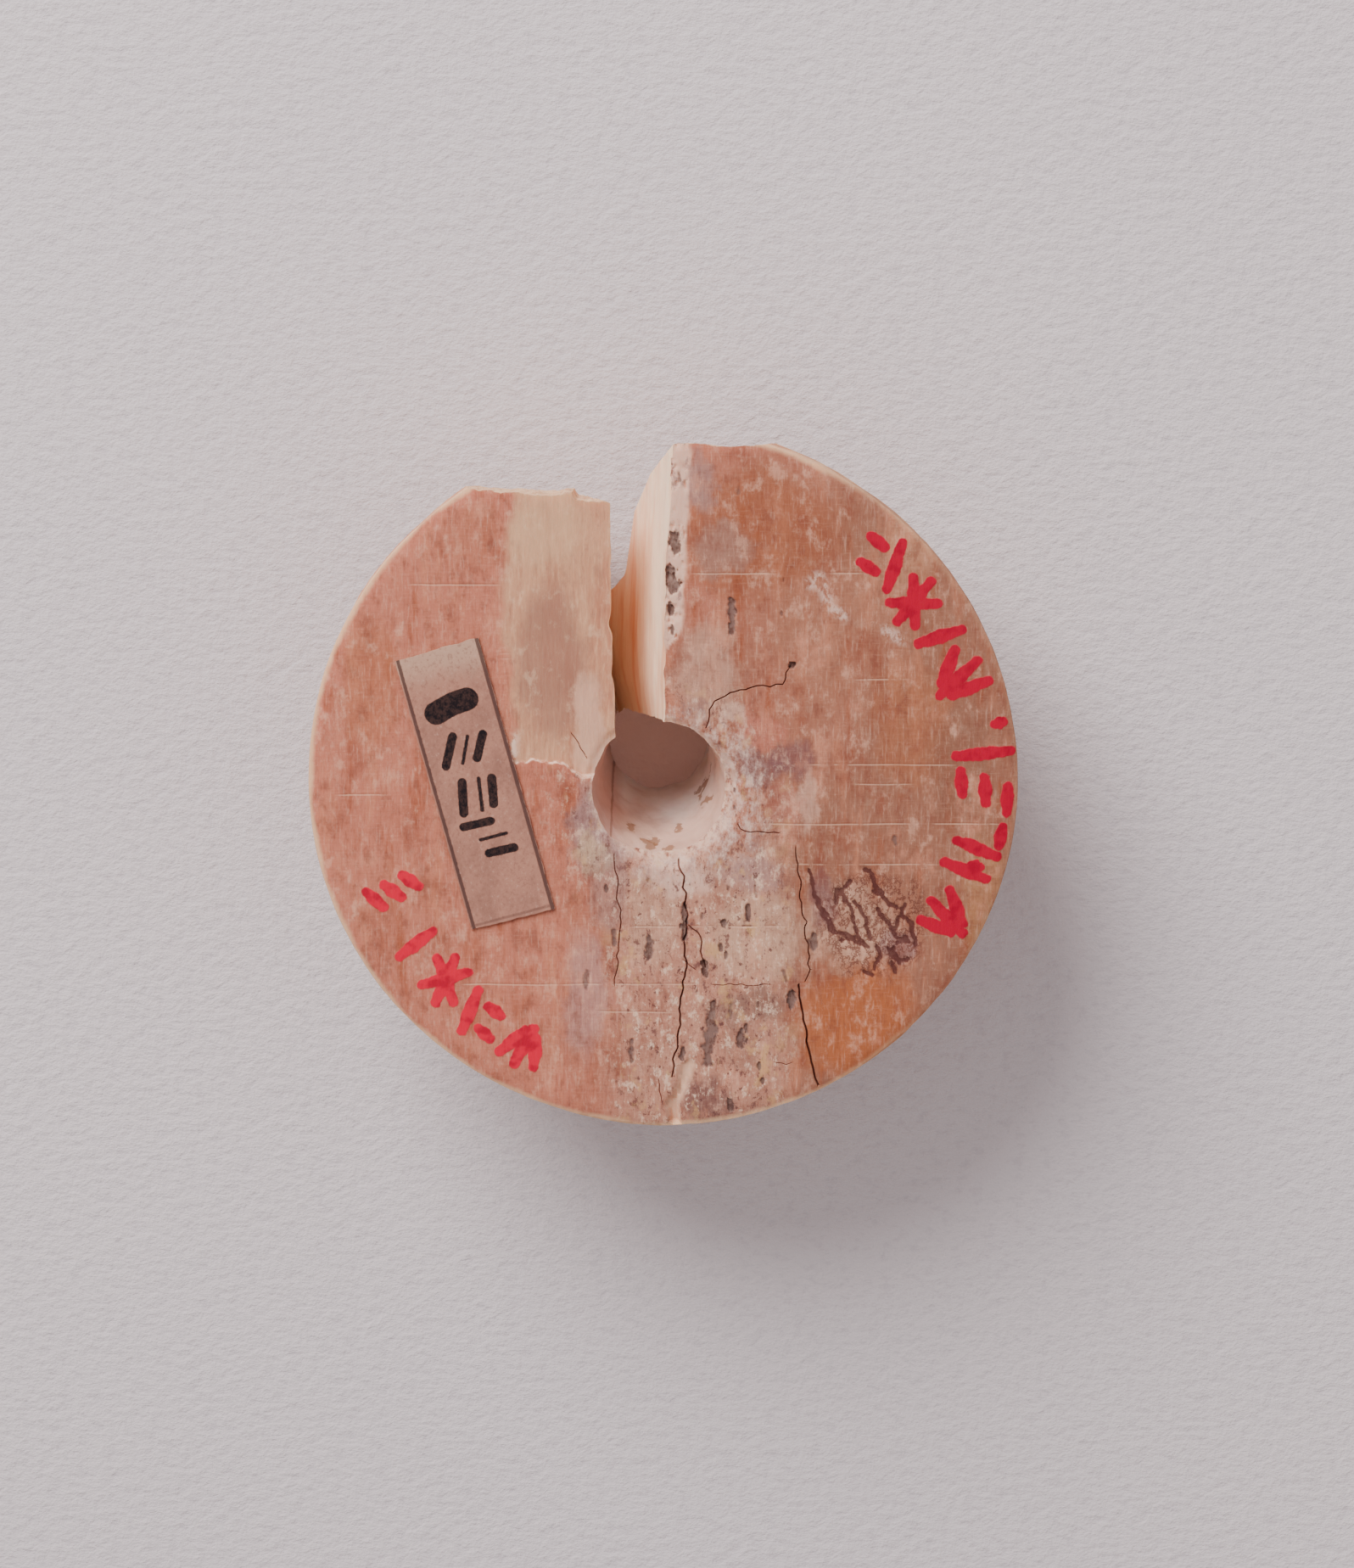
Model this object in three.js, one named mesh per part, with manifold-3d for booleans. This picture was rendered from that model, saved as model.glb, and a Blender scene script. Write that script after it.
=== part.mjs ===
// A bone spindle whorl: a turned and drilled disc with a flat face above and a domed back below.
// A wedge of bone has broken out of the far side, which leaves a slot from the hole to the rim.
// Millimetres, +Z up. The origin is at the middle of the foot, and the flat face is on top.

import * as THREE from "three";
import { mergeVertices } from "three/addons/utils/BufferGeometryUtils.js";
import Module from "manifold-3d";

// ---- driving dimensions -------------------------------------------------------------------------

const RIM_RADIUS = 21; // the whorl is 42 mm across
const HEIGHT = 14; // foot to flat face
const BEVEL = 0.3; // worn corner where the face meets the edge
const EDGE_BAND = 1.1; // upright edge below the bevel
const FOOT_RADIUS = 7.5; // small flat spot worn on the crown of the dome

const HOLE_X = -0.35; // the hole is a little off the middle of the disc
const HOLE_Y = -0.2;
const HOLE_EXIT_RADIUS = 3.05; // at the foot
const HOLE_THROAT_RADIUS = 3.55; // just below the worn mouth
const HOLE_MOUTH_RADIUS = 4.15; // at the flat face
const MOUTH_DEPTH = 1.2; // how deep the worn flare of the mouth reaches

const SLOT_LEFT = -2.85; // left lip of the slot on the face
const SLOT_RIGHT = 0.15; // right lip of the slot on the face
const SLOT_RIGHT_BOW = 0.55; // how far the right lip bows outwards at the rim
const SLOT_WAVE = 0.1; // the lips wander a little along the grain
const LEFT_UNDERCUT = 0.16; // sideways run of the left wall for each mm of depth, out along the slot
const RIGHT_SLOPE = 0.3; // sideways run of the right wall for each mm of depth, out along the slot
const RIGHT_SLOPE_AT_HOLE = 0.215; // near the hole both walls stand steeper, and open into it
const LEFT_UNDERCUT_AT_HOLE = 0.056;
const STEEP_END = 1.5; // the walls are steepest up to here
const SLOPE_START = 6; // and reach their full slope here

const BREAK_LEFT = { x: -11.2, y: 17.5 }; // broken top edge of the left half, from its outer end
const BREAK_RIGHT = { x: -2, y: 16.7 }; // to the slot
const BREAK_NOTCH = 0.35; // step in the broken edge
const BREAK_NOTCH_X = -5.2;
const BREAK_NOTCH_RUN = 0.15; // the step is made within this length
const BREAK_CORNER_RISE = 1.2; // the outer corner of the break turns up towards the rim
const BREAK_SLOPE = 0.12; // the broken wall leans in below the face

// The far end of the right half is broken: a slant beside the slot, then a shallow flat along the rim.
const TIP_EDGE = [
  { x: -4.8, y: 10.0 },
  { x: -2.3, y: 12.6 },
  { x: -1.75, y: 16.3 },
  { x: -0.75, y: 18.5 },
  { x: 0.6, y: 20.25 },
  { x: 7.6, y: 20.5 },
];
const TIP_SLOPE = 0.19; // how far the broken end leans in for each mm of depth
const TIP_SIDE_LEAN = 0.16; // the break follows the slot down, so that the left half stays whole
const TIP_START = -2.6;
const TIP_END = 7.6;
const TIP_STATIONS = 16;
const TIP_LEVELS = 5;

const SCAR_LEFT = -9.3; // flake scar beside the slot: it starts at nothing here
const SCAR_DEPTH = 0.75; // and is this deep at the slot
const SCAR_FOOT = 1.1; // it ends in a step across the grain
const SCAR_OVERRUN = 0.5; // how far the tool runs past the start of the scar
const SLOT_OVERLAP = 1; // and past the left lip of the slot

const TAG_WIDTH = 5.1;
const TAG_LENGTH = 16.8;
const TAG_THICKNESS = 0.16;
const TAG_X = -11.07;
const TAG_Y = -0.05;
const TAG_LEAN = THREE.MathUtils.degToRad(15.1);
const PASTE = 0.02; // film of paste under the tag

const ROUND_STEPS = 120; // facets round the disc
const DOME_STEPS = 18; // facets from the edge band down to the foot
const HOLE_STEPS = 56; // facets round the hole
const SLOT_STEPS = 14; // facets along each slot wall
const MARGIN = 3; // how far a cutting tool runs past the solid

// ---- solids and cutting tools ------------------------------------------------------------------

const wasm = await Module();
wasm.setup();

function toSolid(geometry) {
  const bare = geometry.clone();
  bare.deleteAttribute("normal");
  bare.deleteAttribute("uv");
  const merged = mergeVertices(bare, 1e-4);
  const vertProperties = new Float32Array(merged.attributes.position.array);
  const triVerts = new Uint32Array(merged.index.array);
  return new wasm.Manifold(new wasm.Mesh({ numProp: 3, vertProperties, triVerts }));
}

function toGeometry(solid) {
  const mesh = solid.getMesh();
  const geometry = new THREE.BufferGeometry();
  geometry.setAttribute("position", new THREE.BufferAttribute(mesh.vertProperties, 3));
  geometry.setIndex(new THREE.BufferAttribute(mesh.triVerts, 1));
  geometry.computeVertexNormals();
  return geometry;
}

// LatheGeometry turns about Y, so a turned shape is stood up with its axis along Z.
function turned(profile, steps) {
  const points = profile.map(([radius, z]) => new THREE.Vector2(radius, z));
  const geometry = new THREE.LatheGeometry(points, steps);
  geometry.rotateX(Math.PI / 2);
  return geometry;
}

// A closed solid through a row of sections with equal numbers of corners, all listed the same way round.
function loft(sections) {
  const positions = sections.flat(2);
  const corners = sections[0].length;
  const index = [];
  for (let s = 0; s + 1 < sections.length; s += 1) {
    for (let c = 0; c < corners; c += 1) {
      const a = corners * s + c;
      const b = corners * s + ((c + 1) % corners);
      index.push(a, b, b + corners, a, b + corners, a + corners);
    }
  }
  const last = corners * (sections.length - 1);
  for (let c = 1; c + 1 < corners; c += 1) {
    index.push(0, c + 1, c);
    index.push(last, last + c, last + c + 1);
  }
  const geometry = new THREE.BufferGeometry();
  geometry.setAttribute("position", new THREE.Float32BufferAttribute(positions, 3));
  geometry.setIndex(index);
  return geometry;
}

// ---- the whorl ------------------------------------------------------------------------------------

// Half section of the disc: foot, elliptical dome, upright edge, bevel, flat face.
function discBlank() {
  const domeTop = HEIGHT - BEVEL - EDGE_BAND;
  const footAngle = Math.acos(FOOT_RADIUS / RIM_RADIUS);
  const domeHeight = domeTop / Math.sin(footAngle);
  const profile = [[0, 0]];
  for (let i = 0; i <= DOME_STEPS; i += 1) {
    const angle = footAngle * (1 - i / DOME_STEPS);
    profile.push([RIM_RADIUS * Math.cos(angle), domeTop - domeHeight * Math.sin(angle)]);
  }
  profile[1] = [FOOT_RADIUS, 0];
  profile.push([RIM_RADIUS, HEIGHT - BEVEL]);
  profile.push([RIM_RADIUS - BEVEL, HEIGHT]);
  profile.push([0, HEIGHT]);
  return turned(profile, ROUND_STEPS);
}

// The spindle hole narrows from the worn mouth to the foot.
function holeTool() {
  const flare = (HOLE_MOUTH_RADIUS - HOLE_THROAT_RADIUS) / MOUTH_DEPTH;
  const profile = [
    [0, -MARGIN],
    [HOLE_EXIT_RADIUS, -MARGIN],
    [HOLE_EXIT_RADIUS, 0],
    [HOLE_THROAT_RADIUS, HEIGHT - MOUTH_DEPTH],
    [HOLE_MOUTH_RADIUS + flare * MARGIN, HEIGHT + MARGIN],
    [0, HEIGHT + MARGIN],
  ];
  return turned(profile, HOLE_STEPS).translate(HOLE_X, HOLE_Y, 0);
}

// The slot follows the grain. Its right wall slopes in under the face, and its left wall is undercut.
function slotTool() {
  const start = HOLE_Y;
  const end = RIM_RADIUS + MARGIN;
  const top = HEIGHT + MARGIN;
  const sections = [];
  for (let i = 0; i <= SLOT_STEPS; i += 1) {
    const along = i / SLOT_STEPS;
    const y = start + (end - start) * along;
    const lean = THREE.MathUtils.smoothstep(y, STEEP_END, SLOPE_START);
    const rightSlope = THREE.MathUtils.lerp(RIGHT_SLOPE_AT_HOLE, RIGHT_SLOPE, lean);
    const left = SLOT_LEFT - SLOT_WAVE * Math.sin(Math.PI * along);
    const right = SLOT_RIGHT + SLOT_RIGHT_BOW * along ** 4 - SLOT_WAVE * Math.sin(2 * Math.PI * along);
    const undercut = THREE.MathUtils.lerp(LEFT_UNDERCUT_AT_HOLE, LEFT_UNDERCUT, lean);
    const leftAt = (z) => left - undercut * (HEIGHT - z);
    const rightAt = (z) => right - rightSlope * (HEIGHT - z);
    sections.push([
      [leftAt(-MARGIN), y, -MARGIN],
      [leftAt(top), y, top],
      [rightAt(top), y, top],
      [rightAt(-MARGIN), y, -MARGIN],
    ]);
  }
  return loft(sections);
}

// The left half has lost its top: a nearly straight break with one small step.
function breakTool() {
  const slope = (BREAK_RIGHT.y - BREAK_LEFT.y) / (BREAK_RIGHT.x - BREAK_LEFT.x);
  const breakAt = (x) => BREAK_LEFT.y + slope * (x - BREAK_LEFT.x);
  const outer = RIM_RADIUS + MARGIN;
  const top = HEIGHT + MARGIN;
  const notchEnd = BREAK_NOTCH_X + BREAK_NOTCH_RUN;
  const outline = [
    [BREAK_LEFT.x - MARGIN, breakAt(BREAK_LEFT.x - MARGIN) + BREAK_CORNER_RISE],
    [BREAK_LEFT.x, breakAt(BREAK_LEFT.x)],
    [BREAK_NOTCH_X, breakAt(BREAK_NOTCH_X) + BREAK_NOTCH / 2],
    [notchEnd, breakAt(notchEnd) - BREAK_NOTCH],
    [BREAK_RIGHT.x, BREAK_RIGHT.y],
  ];
  // The tool leans with the slot at its inner end, so that the right wall stays whole.
  const sections = outline.map(([x, y], i) => {
    const lean = i === outline.length - 1 ? (RIGHT_SLOPE + LEFT_UNDERCUT) / 2 : 0;
    const low = x - lean * top;
    return [
      [low, y - BREAK_SLOPE * top, -MARGIN],
      [low, outer, -MARGIN],
      [x, outer, top],
      [x, y + BREAK_SLOPE * MARGIN, top],
    ];
  });
  return loft(sections);
}

// Where the broken end of the right half lies on the face, by straight lines between the corners.
function tipEdge(x) {
  const next = Math.max(1, TIP_EDGE.findIndex((corner) => corner.x >= x));
  const from = TIP_EDGE[next - 1];
  const to = TIP_EDGE[next];
  return THREE.MathUtils.mapLinear(x, from.x, to.x, from.y, to.y);
}

function tipTool() {
  const outer = RIM_RADIUS + MARGIN;
  const sections = [];
  for (let i = 0; i <= TIP_STATIONS; i += 1) {
    const station = THREE.MathUtils.lerp(TIP_START, TIP_END, i / TIP_STATIONS);
    const xAt = (z) => station - TIP_SIDE_LEAN * (HEIGHT - z);
    const inner = [];
    for (let level = 0; level <= TIP_LEVELS; level += 1) {
      const z = THREE.MathUtils.lerp(HEIGHT, -MARGIN, level / TIP_LEVELS);
      inner.push([xAt(z), tipEdge(xAt(z)) - TIP_SLOPE * (HEIGHT - z), z]);
    }
    const above = [station, tipEdge(station), HEIGHT + MARGIN];
    sections.push([
      [xAt(-MARGIN), outer, -MARGIN],
      [station, outer, HEIGHT + MARGIN],
      above,
      ...inner,
    ]);
  }
  return loft(sections);
}

// A flake has lifted off the face beside the slot. Its bed tilts down towards the slot.
function scarTool() {
  const slotEdge = SLOT_LEFT + SLOT_OVERLAP;
  const rise = SCAR_DEPTH / (SLOT_LEFT - SCAR_LEFT);
  const sections = [SCAR_FOOT, RIM_RADIUS].map((y) => [
    [SCAR_LEFT - SCAR_OVERRUN, y, HEIGHT + SCAR_OVERRUN * rise],
    [SCAR_LEFT - SCAR_OVERRUN, y, HEIGHT + MARGIN],
    [slotEdge, y, HEIGHT + MARGIN],
    [slotEdge, y, HEIGHT - rise * (slotEdge - SCAR_LEFT)],
  ]);
  return loft(sections);
}

function boneWhorl() {
  const tools = [holeTool(), slotTool(), breakTool(), tipTool(), scarTool()];
  let solid = toSolid(discBlank());
  for (const tool of tools) {
    solid = solid.subtract(toSolid(tool));
  }
  const material = new THREE.MeshStandardMaterial({ color: 0xc8906f, roughness: 0.6, metalness: 0 });
  const mesh = new THREE.Mesh(toGeometry(solid), material);
  mesh.name = "bone_whorl";
  return mesh;
}

// ---- the pasted tag ------------------------------------------------------------------------------

function paperTag() {
  const geometry = new THREE.BoxGeometry(TAG_WIDTH, TAG_LENGTH, TAG_THICKNESS);
  const material = new THREE.MeshStandardMaterial({ color: 0xb59684, roughness: 0.9, metalness: 0 });
  const mesh = new THREE.Mesh(geometry, material);
  mesh.name = "paper_tag";
  mesh.position.set(TAG_X, TAG_Y, HEIGHT + PASTE + TAG_THICKNESS / 2);
  mesh.rotation.z = TAG_LEAN;
  return mesh;
}

const whorl = new THREE.Group();
whorl.add(boneWhorl(), paperTag());

// The broken side makes the outline a little shorter, so the whorl is centred over the origin here.
const middle = new THREE.Box3().setFromObject(whorl).getCenter(new THREE.Vector3());
whorl.position.set(-middle.x, -middle.y, 0);

export default whorl;
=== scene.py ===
# %% [markdown]
# # A bone spindle whorl
#
# A spindle whorl is a small weight that keeps a hand spindle turning. This one is a disc of old bone with a
# flat face above, a domed back below and a hole for the spindle. A wedge has broken out of its far side, the
# face is cracked and stained, and a strip of paper and some strokes of red paint were put on it much later.
#
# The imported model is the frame: it gives the true sizes, and every piece here is built inside it. Shapes are
# worked out in millimetres, because the object is small, and turned into metres when a mesh is made.

import math

import bmesh
import bpy
import numpy as np
from mathutils import Matrix, Vector, noise
from mathutils.geometry import delaunay_2d_cdt


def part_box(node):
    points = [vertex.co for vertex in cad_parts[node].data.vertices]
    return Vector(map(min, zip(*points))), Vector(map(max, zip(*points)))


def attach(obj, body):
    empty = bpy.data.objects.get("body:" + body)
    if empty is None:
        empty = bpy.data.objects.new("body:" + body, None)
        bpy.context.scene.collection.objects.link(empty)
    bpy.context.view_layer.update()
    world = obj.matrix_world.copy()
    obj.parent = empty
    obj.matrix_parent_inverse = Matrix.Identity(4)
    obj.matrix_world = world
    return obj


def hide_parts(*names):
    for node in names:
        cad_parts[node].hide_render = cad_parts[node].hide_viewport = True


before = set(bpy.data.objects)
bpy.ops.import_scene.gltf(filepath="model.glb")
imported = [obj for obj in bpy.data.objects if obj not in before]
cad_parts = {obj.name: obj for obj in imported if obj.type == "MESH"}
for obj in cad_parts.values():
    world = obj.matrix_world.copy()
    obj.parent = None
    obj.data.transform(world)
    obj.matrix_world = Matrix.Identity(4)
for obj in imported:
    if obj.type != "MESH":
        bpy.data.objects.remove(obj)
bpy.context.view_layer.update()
MM = 0.001
print("nodes:", sorted(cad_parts))

# %% Sizes taken from the frame
whorl_low, whorl_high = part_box("bone_whorl")
tag_low, tag_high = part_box("paper_tag")
RIM_RADIUS = (whorl_high.x - whorl_low.x) / 2 / MM
HEIGHT = whorl_high.z / MM
DISC_X = (whorl_high.x + whorl_low.x) / 2 / MM
DISC_Y = whorl_low.y / MM + RIM_RADIUS
TAG_X = (tag_low.x + tag_high.x) / 2 / MM - DISC_X
TAG_Y = (tag_low.y + tag_high.y) / 2 / MM - DISC_Y
print(f"rim radius {RIM_RADIUS:.2f} mm, height {HEIGHT:.2f} mm, disc centre y {DISC_Y:.2f} mm")

# %% [markdown]
# ## Helpers for shapes
#
# Places on the face are (x, y) in millimetres from the middle of the disc. A mark on the face, such as a
# crack, a pit or a brush stroke, is a path with a width, and everything about it follows from the distance
# of a point to that path. One helper measures that distance for thousands of points at once.

# %% Distance from points to a path
def path_distance(points, path):
    """The distance of each point to a path, and how far along the path the nearest spot is, from 0 to 1."""
    path = np.asarray(path, float)
    steps = path[1:] - path[:-1]
    lengths = np.linalg.norm(steps, axis=1)
    starts = np.concatenate([[0.0], np.cumsum(lengths)[:-1]])
    best = np.full(len(points), 1e9)
    along = np.zeros(len(points))
    for start, step, length, passed in zip(path[:-1], steps, lengths, starts):
        t = np.clip(((points - start) @ step) / length**2, 0, 1)
        gap = np.linalg.norm(points - start - t[:, None] * step, axis=1)
        nearer = gap < best
        best[nearer] = gap[nearer]
        along[nearer] = (passed + t[nearer] * length) / lengths.sum()
    return best, along


def smooth_step(low, high, value):
    t = np.clip((value - low) / (high - low), 0, 1)
    return t * t * (3 - 2 * t)


def arc(x, y, radius, start, end, count=9):
    """Points on an arc, with angles in degrees."""
    angles = np.radians(np.linspace(start, end, count))
    return np.stack([x + radius * np.cos(angles), y + radius * np.sin(angles)], axis=1)


def wander(path, step, sway, seed):
    """A path with closer points that stray a little to each side, as a crack does in bone."""
    path = np.asarray(path, float)
    made = [path[0]]
    for a, b in zip(path[:-1], path[1:]):
        count = max(1, int(round(np.linalg.norm(b - a) / step)))
        side = np.array([a[1] - b[1], b[0] - a[0]]) / max(np.linalg.norm(b - a), 1e-6)
        for i in range(1, count + 1):
            spot = a + (b - a) * i / count
            shift = noise.noise(Vector((spot[0] * 1.7, spot[1] * 1.7, seed))) * sway
            made.append(spot + side * shift * (i < count))
    return np.array(made)


def noise_at(points, scale_x, scale_y, seed, octaves=3):
    """Smooth noise from about -1 to 1 at each point of the face."""
    hills = noise.fractal
    return np.array([hills(Vector((x * scale_x, y * scale_y, seed)), 0.6, 2.1, octaves) for x, y in points])


# %% [markdown]
# ## The marks on the face
#
# Old bone splits along its grain, which runs up and down this face. The cracks below are grooves that follow
# the grain with short steps across it. The pits are the mouths of small blood vessels and spongy cells, so
# they are drawn out along the grain too. Each list holds only the turning points that a crack or pit needs.

# %% Cracks: turning points, half width, depth
CRACKS = {
    "below_hole": ([(0.9, -4.7), (1.2, -6.0), (1.4, -8.7), (1.2, -9.5), (1.4, -11.1), (1.0, -13.4),
                    (0.9, -15.0), (0.5, -17.9)], 0.065, 0.40),
    "side_branch": ([(1.5, -8.6), (2.2, -9.3), (2.2, -10.2), (2.5, -11.2)], 0.05, 0.25),
    "short_step": ([(1.2, -10.7), (1.5, -11.0), (1.9, -11.3)], 0.04, 0.15),
    "right_upper": ([(7.8, -3.9), (8.0, -5.6), (8.2, -7.9), (8.5, -8.4), (8.4, -9.4), (8.7, -11.3),
                     (8.4, -12.0)], 0.045, 0.28),
    "right_lower": ([(8.0, -12.2), (8.3, -14.4), (8.5, -15.0), (8.9, -17.3), (9.3, -18.6)], 0.07, 0.5),
    "above_hole": ([(2.5, 3.3), (2.7, 4.4), (3.0, 4.9), (3.9, 5.4), (5.1, 5.7), (7.0, 5.9), (7.4, 6.9)],
                   0.05, 0.25),
    "left_fine": ([(-2.9, -4.3), (-2.7, -6.3), (-2.5, -8.4), (-2.9, -12.2)], 0.045, 0.2),
    "right_of_hole": ([(4.4, -2.5), (4.8, -2.9), (6.8, -3.0)], 0.045, 0.2),
    "cross_low": ([(2.9, -12.2), (6.3, -12.2)], 0.035, 0.12),
    "cross_lower": ([(6.7, -17.0), (7.6, -17.0)], 0.035, 0.1),
    "scar_crack": ([(-5.4, 2.9), (-4.5, 1.4)], 0.035, 0.12),
    "bottom_left": ([(-0.3, -18.0), (-0.1, -19.4)], 0.035, 0.12),
}
CRACK_STEP = 0.35
CRACK_SWAY = 0.22
cracks = {}
for index, (name, (turns, half_width, depth)) in enumerate(CRACKS.items()):
    cracks[name] = (wander(turns, CRACK_STEP, CRACK_SWAY, index), half_width, depth)
print(len(cracks), "cracks")

# %% Pits: start, end, half width, depth
PITS = [
    ((4.0, 10.9), (4.0, 9.0), 0.30, 0.25), ((-0.8, -9.4), (-0.9, -10.6), 0.30, 0.22),
    ((3.6, -8.4), (3.6, -8.5), 0.33, 0.30), ((5.0, -7.4), (5.0, -8.3), 0.20, 0.25),
    ((4.7, -8.65), (5.2, -8.65), 0.09, 0.15), ((-3.4, -6.2), (-3.4, -6.5), 0.20, 0.18),
    ((-2.9, -8.9), (-2.9, -9.8), 0.19, 0.18), ((7.6, -12.7), (7.6, -13.5), 0.30, 0.40),
    ((1.2, -16.1), (1.1, -16.8), 0.20, 0.30), ((-1.9, -15.6), (-1.9, -16.9), 0.22, 0.18),
    ((4.6, -15.1), (4.6, -16.0), 0.34, 0.25), ((4.9, -14.7), (4.9, -15.1), 0.18, 0.20),
    ((5.7, -17.0), (5.7, -17.4), 0.16, 0.25), ((5.9, -18.0), (5.9, -18.2), 0.18, 0.25),
    ((3.8, -6.2), (3.8, -6.4), 0.16, 0.15), ((2.3, -7.9), (2.3, -8.2), 0.13, 0.15),
    ((3.4, -9.8), (3.4, -10.1), 0.18, 0.20), ((3.7, -10.3), (3.7, -10.6), 0.15, 0.18),
    ((4.4, 17.6), (4.4, 17.2), 0.16, 0.12), ((8.9, -9.3), (8.9, -10.0), 0.32, 0.22),
    ((13.6, -3.2), (13.7, -3.7), 0.17, 0.15), ((7.45, 7.0), (7.6, 7.1), 0.24, 0.50),
    ((2.4, -10.9), (2.5, -11.6), 0.30, 0.40), ((1.25, -7.4), (1.25, -9.4), 0.24, 0.35),
    ((3.4, -1.2), (3.4, -1.4), 0.12, 0.20), ((4.2, -1.5), (4.2, -1.6), 0.13, 0.20),
    ((4.2, -0.4), (4.2, -0.6), 0.10, 0.20), ((2.9, -13.4), (2.6, -17.0), 0.46, 0.22),
    ((0.65, 14.7), (0.65, 13.9), 0.46, 0.35), ((0.35, 12.6), (0.6, 11.6), 0.55, 0.45),
    ((0.4, 10.7), (0.45, 10.1), 0.24, 0.35), ((0.5, 9.4), (0.55, 8.9), 0.14, 0.20),
    ((0.1, 16.2), (0.2, 15.5), 0.14, 0.15), ((0.9, 18.4), (1.0, 17.9), 0.15, 0.15),
    ((4.0, -13.4), (4.0, -14.3), 0.15, 0.15), ((5.6, -13.3), (5.6, -13.6), 0.15, 0.15),
    ((-4.5, -11.4), (-4.6, -12.4), 0.26, 0.15), ((7.1, -11.4), (7.3, -12.0), 0.14, 0.15),
    ((5.4, -6.2), (5.5, -6.9), 0.10, 0.12), ((3.9, -19.4), (4.0, -19.9), 0.30, 0.25),
    ((0.3, 19.5), (0.5, 18.9), 0.16, 0.15), ((7.0, 12.2), (7.0, 12.0), 0.09, 0.12),
    ((6.9, 10.2), (6.9, 10.0), 0.11, 0.15), ((-0.9, -5.8), (-0.9, -6.0), 0.12, 0.12),
]
PIT_DEPTH_SHARE = 0.5  # both kinds of hollow are part filled with dirt
CRACK_DEPTH_SHARE = 0.6
print(len(PITS), "pits")

# %% Root marks in the stained patch, light scratches and the chipped channel at the near rim
ROOT_MARKS = [
    [(8.6, -5.3), (8.9, -6.5), (9.3, -7.6), (9.9, -8.8)], [(9.0, -6.9), (9.6, -7.9), (10.1, -9.0)],
    [(11.9, -5.2), (12.4, -5.9), (12.9, -6.6)], [(12.5, -6.6), (13.1, -7.0), (13.8, -7.5)],
    [(14.3, -7.3), (14.1, -8.0), (14.7, -8.6), (14.9, -9.8)], arc(14.2, -10.1, 0.6, 60, 300),
    [(13.5, -10.8), (13.7, -11.4)], [(11.1, -5.9), (10.4, -6.6), (10.9, -7.3), (11.2, -8.1), (11.6, -9.6)],
    [(10.2, -6.5), (10.2, -7.3)], [(9.9, -8.9), (10.9, -9.1), (12.1, -9.9)], [(10.5, -9.5), (11.6, -9.7)],
    [(12.6, -9.9), (12.8, -10.5), (12.5, -11.2)], [(13.2, -8.3), (13.8, -9.4), (14.4, -9.3)],
    [(11.9, -11.4), (12.3, -11.6)], [(11.3, -7.2), (12.0, -8.4), (12.2, -9.4)], [(12.7, -7.6), (13.2, -8.4)],
    [(13.9, -8.1), (13.6, -8.9)], [(13.3, -10.0), (14.0, -10.9)],
]
SCRATCHES = [
    (1.4, 7.0, 12.45), (-15.1, -9.0, 11.8), (-9.8, -8.5, 7.7), (-9.8, -8.5, 7.4), (10.9, 14.7, 6.2),
    (8.3, 17.5, 1.1), (5.5, 20.3, -2.5), (7.5, 16.5, -4.9), (-12.2, 2.5, -12.2), (9.4, 13.0, 12.5),
    (-19.5, -15.8, -0.7), (-4.2, 1.0, -13.9), (-2.2, 7.7, -8.7), (11.0, 15.0, -0.1),
]
CHALK = [
    [(8.5, 11.8), (9.1, 12.3)], [(9.1, 12.3), (9.7, 10.5), (10.5, 10.0)], [(13.0, 9.1), (13.9, 8.6)],
]
CHALK_HALF_WIDTH = 0.5
CHANNEL = [(1.5, -17.2), (1.0, -18.7), (0.6, -19.5), (0.8, -21.2)]
ROOT_STEP = 0.3
ROOT_SWAY = 0.25
ROOT_SEED = 40
root_marks = [wander(path, ROOT_STEP, ROOT_SWAY, ROOT_SEED + i) for i, path in enumerate(ROOT_MARKS)]
print(len(root_marks), "root marks,", len(SCRATCHES), "scratches")

# %% [markdown]
# ## The painted marks
#
# The real whorl has two rows of small red marks that were brushed on beside the rim. They are made here as
# strokes of no meaning, in the same places, at the same height and with the same brush width. Each mark is a
# few short strokes in its own little frame, with its height pointing out from the middle of the disc.

# %% Mark shapes: each is a list of paths, about 3 mm high and 2.4 mm wide
def stroke_mark(kind):
    shapes = {
        "bar": [[(-0.1, -1.35), (0.1, 1.3)]],
        "dot": [[(0, -0.2), (0.05, 0.25)]],
        "dash": [[(-0.7, 0), (0.7, 0.05)]],
        "pair": [[(-0.85, -1.2), (-0.45, 1.2)], [(0.5, -1.3), (0.9, 1.0)], [(-0.2, 0.1), (-0.1, 0.5)]],
        "branch": [[(-0.85, -1.3), (-0.55, 1.35)], [(0.25, 0.75), (1.15, 1.0)], [(0.15, -0.7), (1.1, -0.55)]],
        "rays": [[(-0.35, -0.9), (-1.15, 1.0)], [(0.05, -1.3), (0.0, 1.3)], [(0.45, -0.8), (1.2, 0.9)]],
        "star": [[(-0.95, -0.9), (0.95, 0.9)], [(-1.0, 0.8), (0.9, -0.95)], [(-0.1, -1.4), (0.1, 1.4)]],
        "steps": [[(-1.1, 1.1), (0.3, 1.2)], [(-0.5, 0.05), (0.8, 0.0)], [(0.0, -1.15), (1.2, -1.2)]],
    }
    return [np.asarray(path, float) for path in shapes[kind]]


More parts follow.
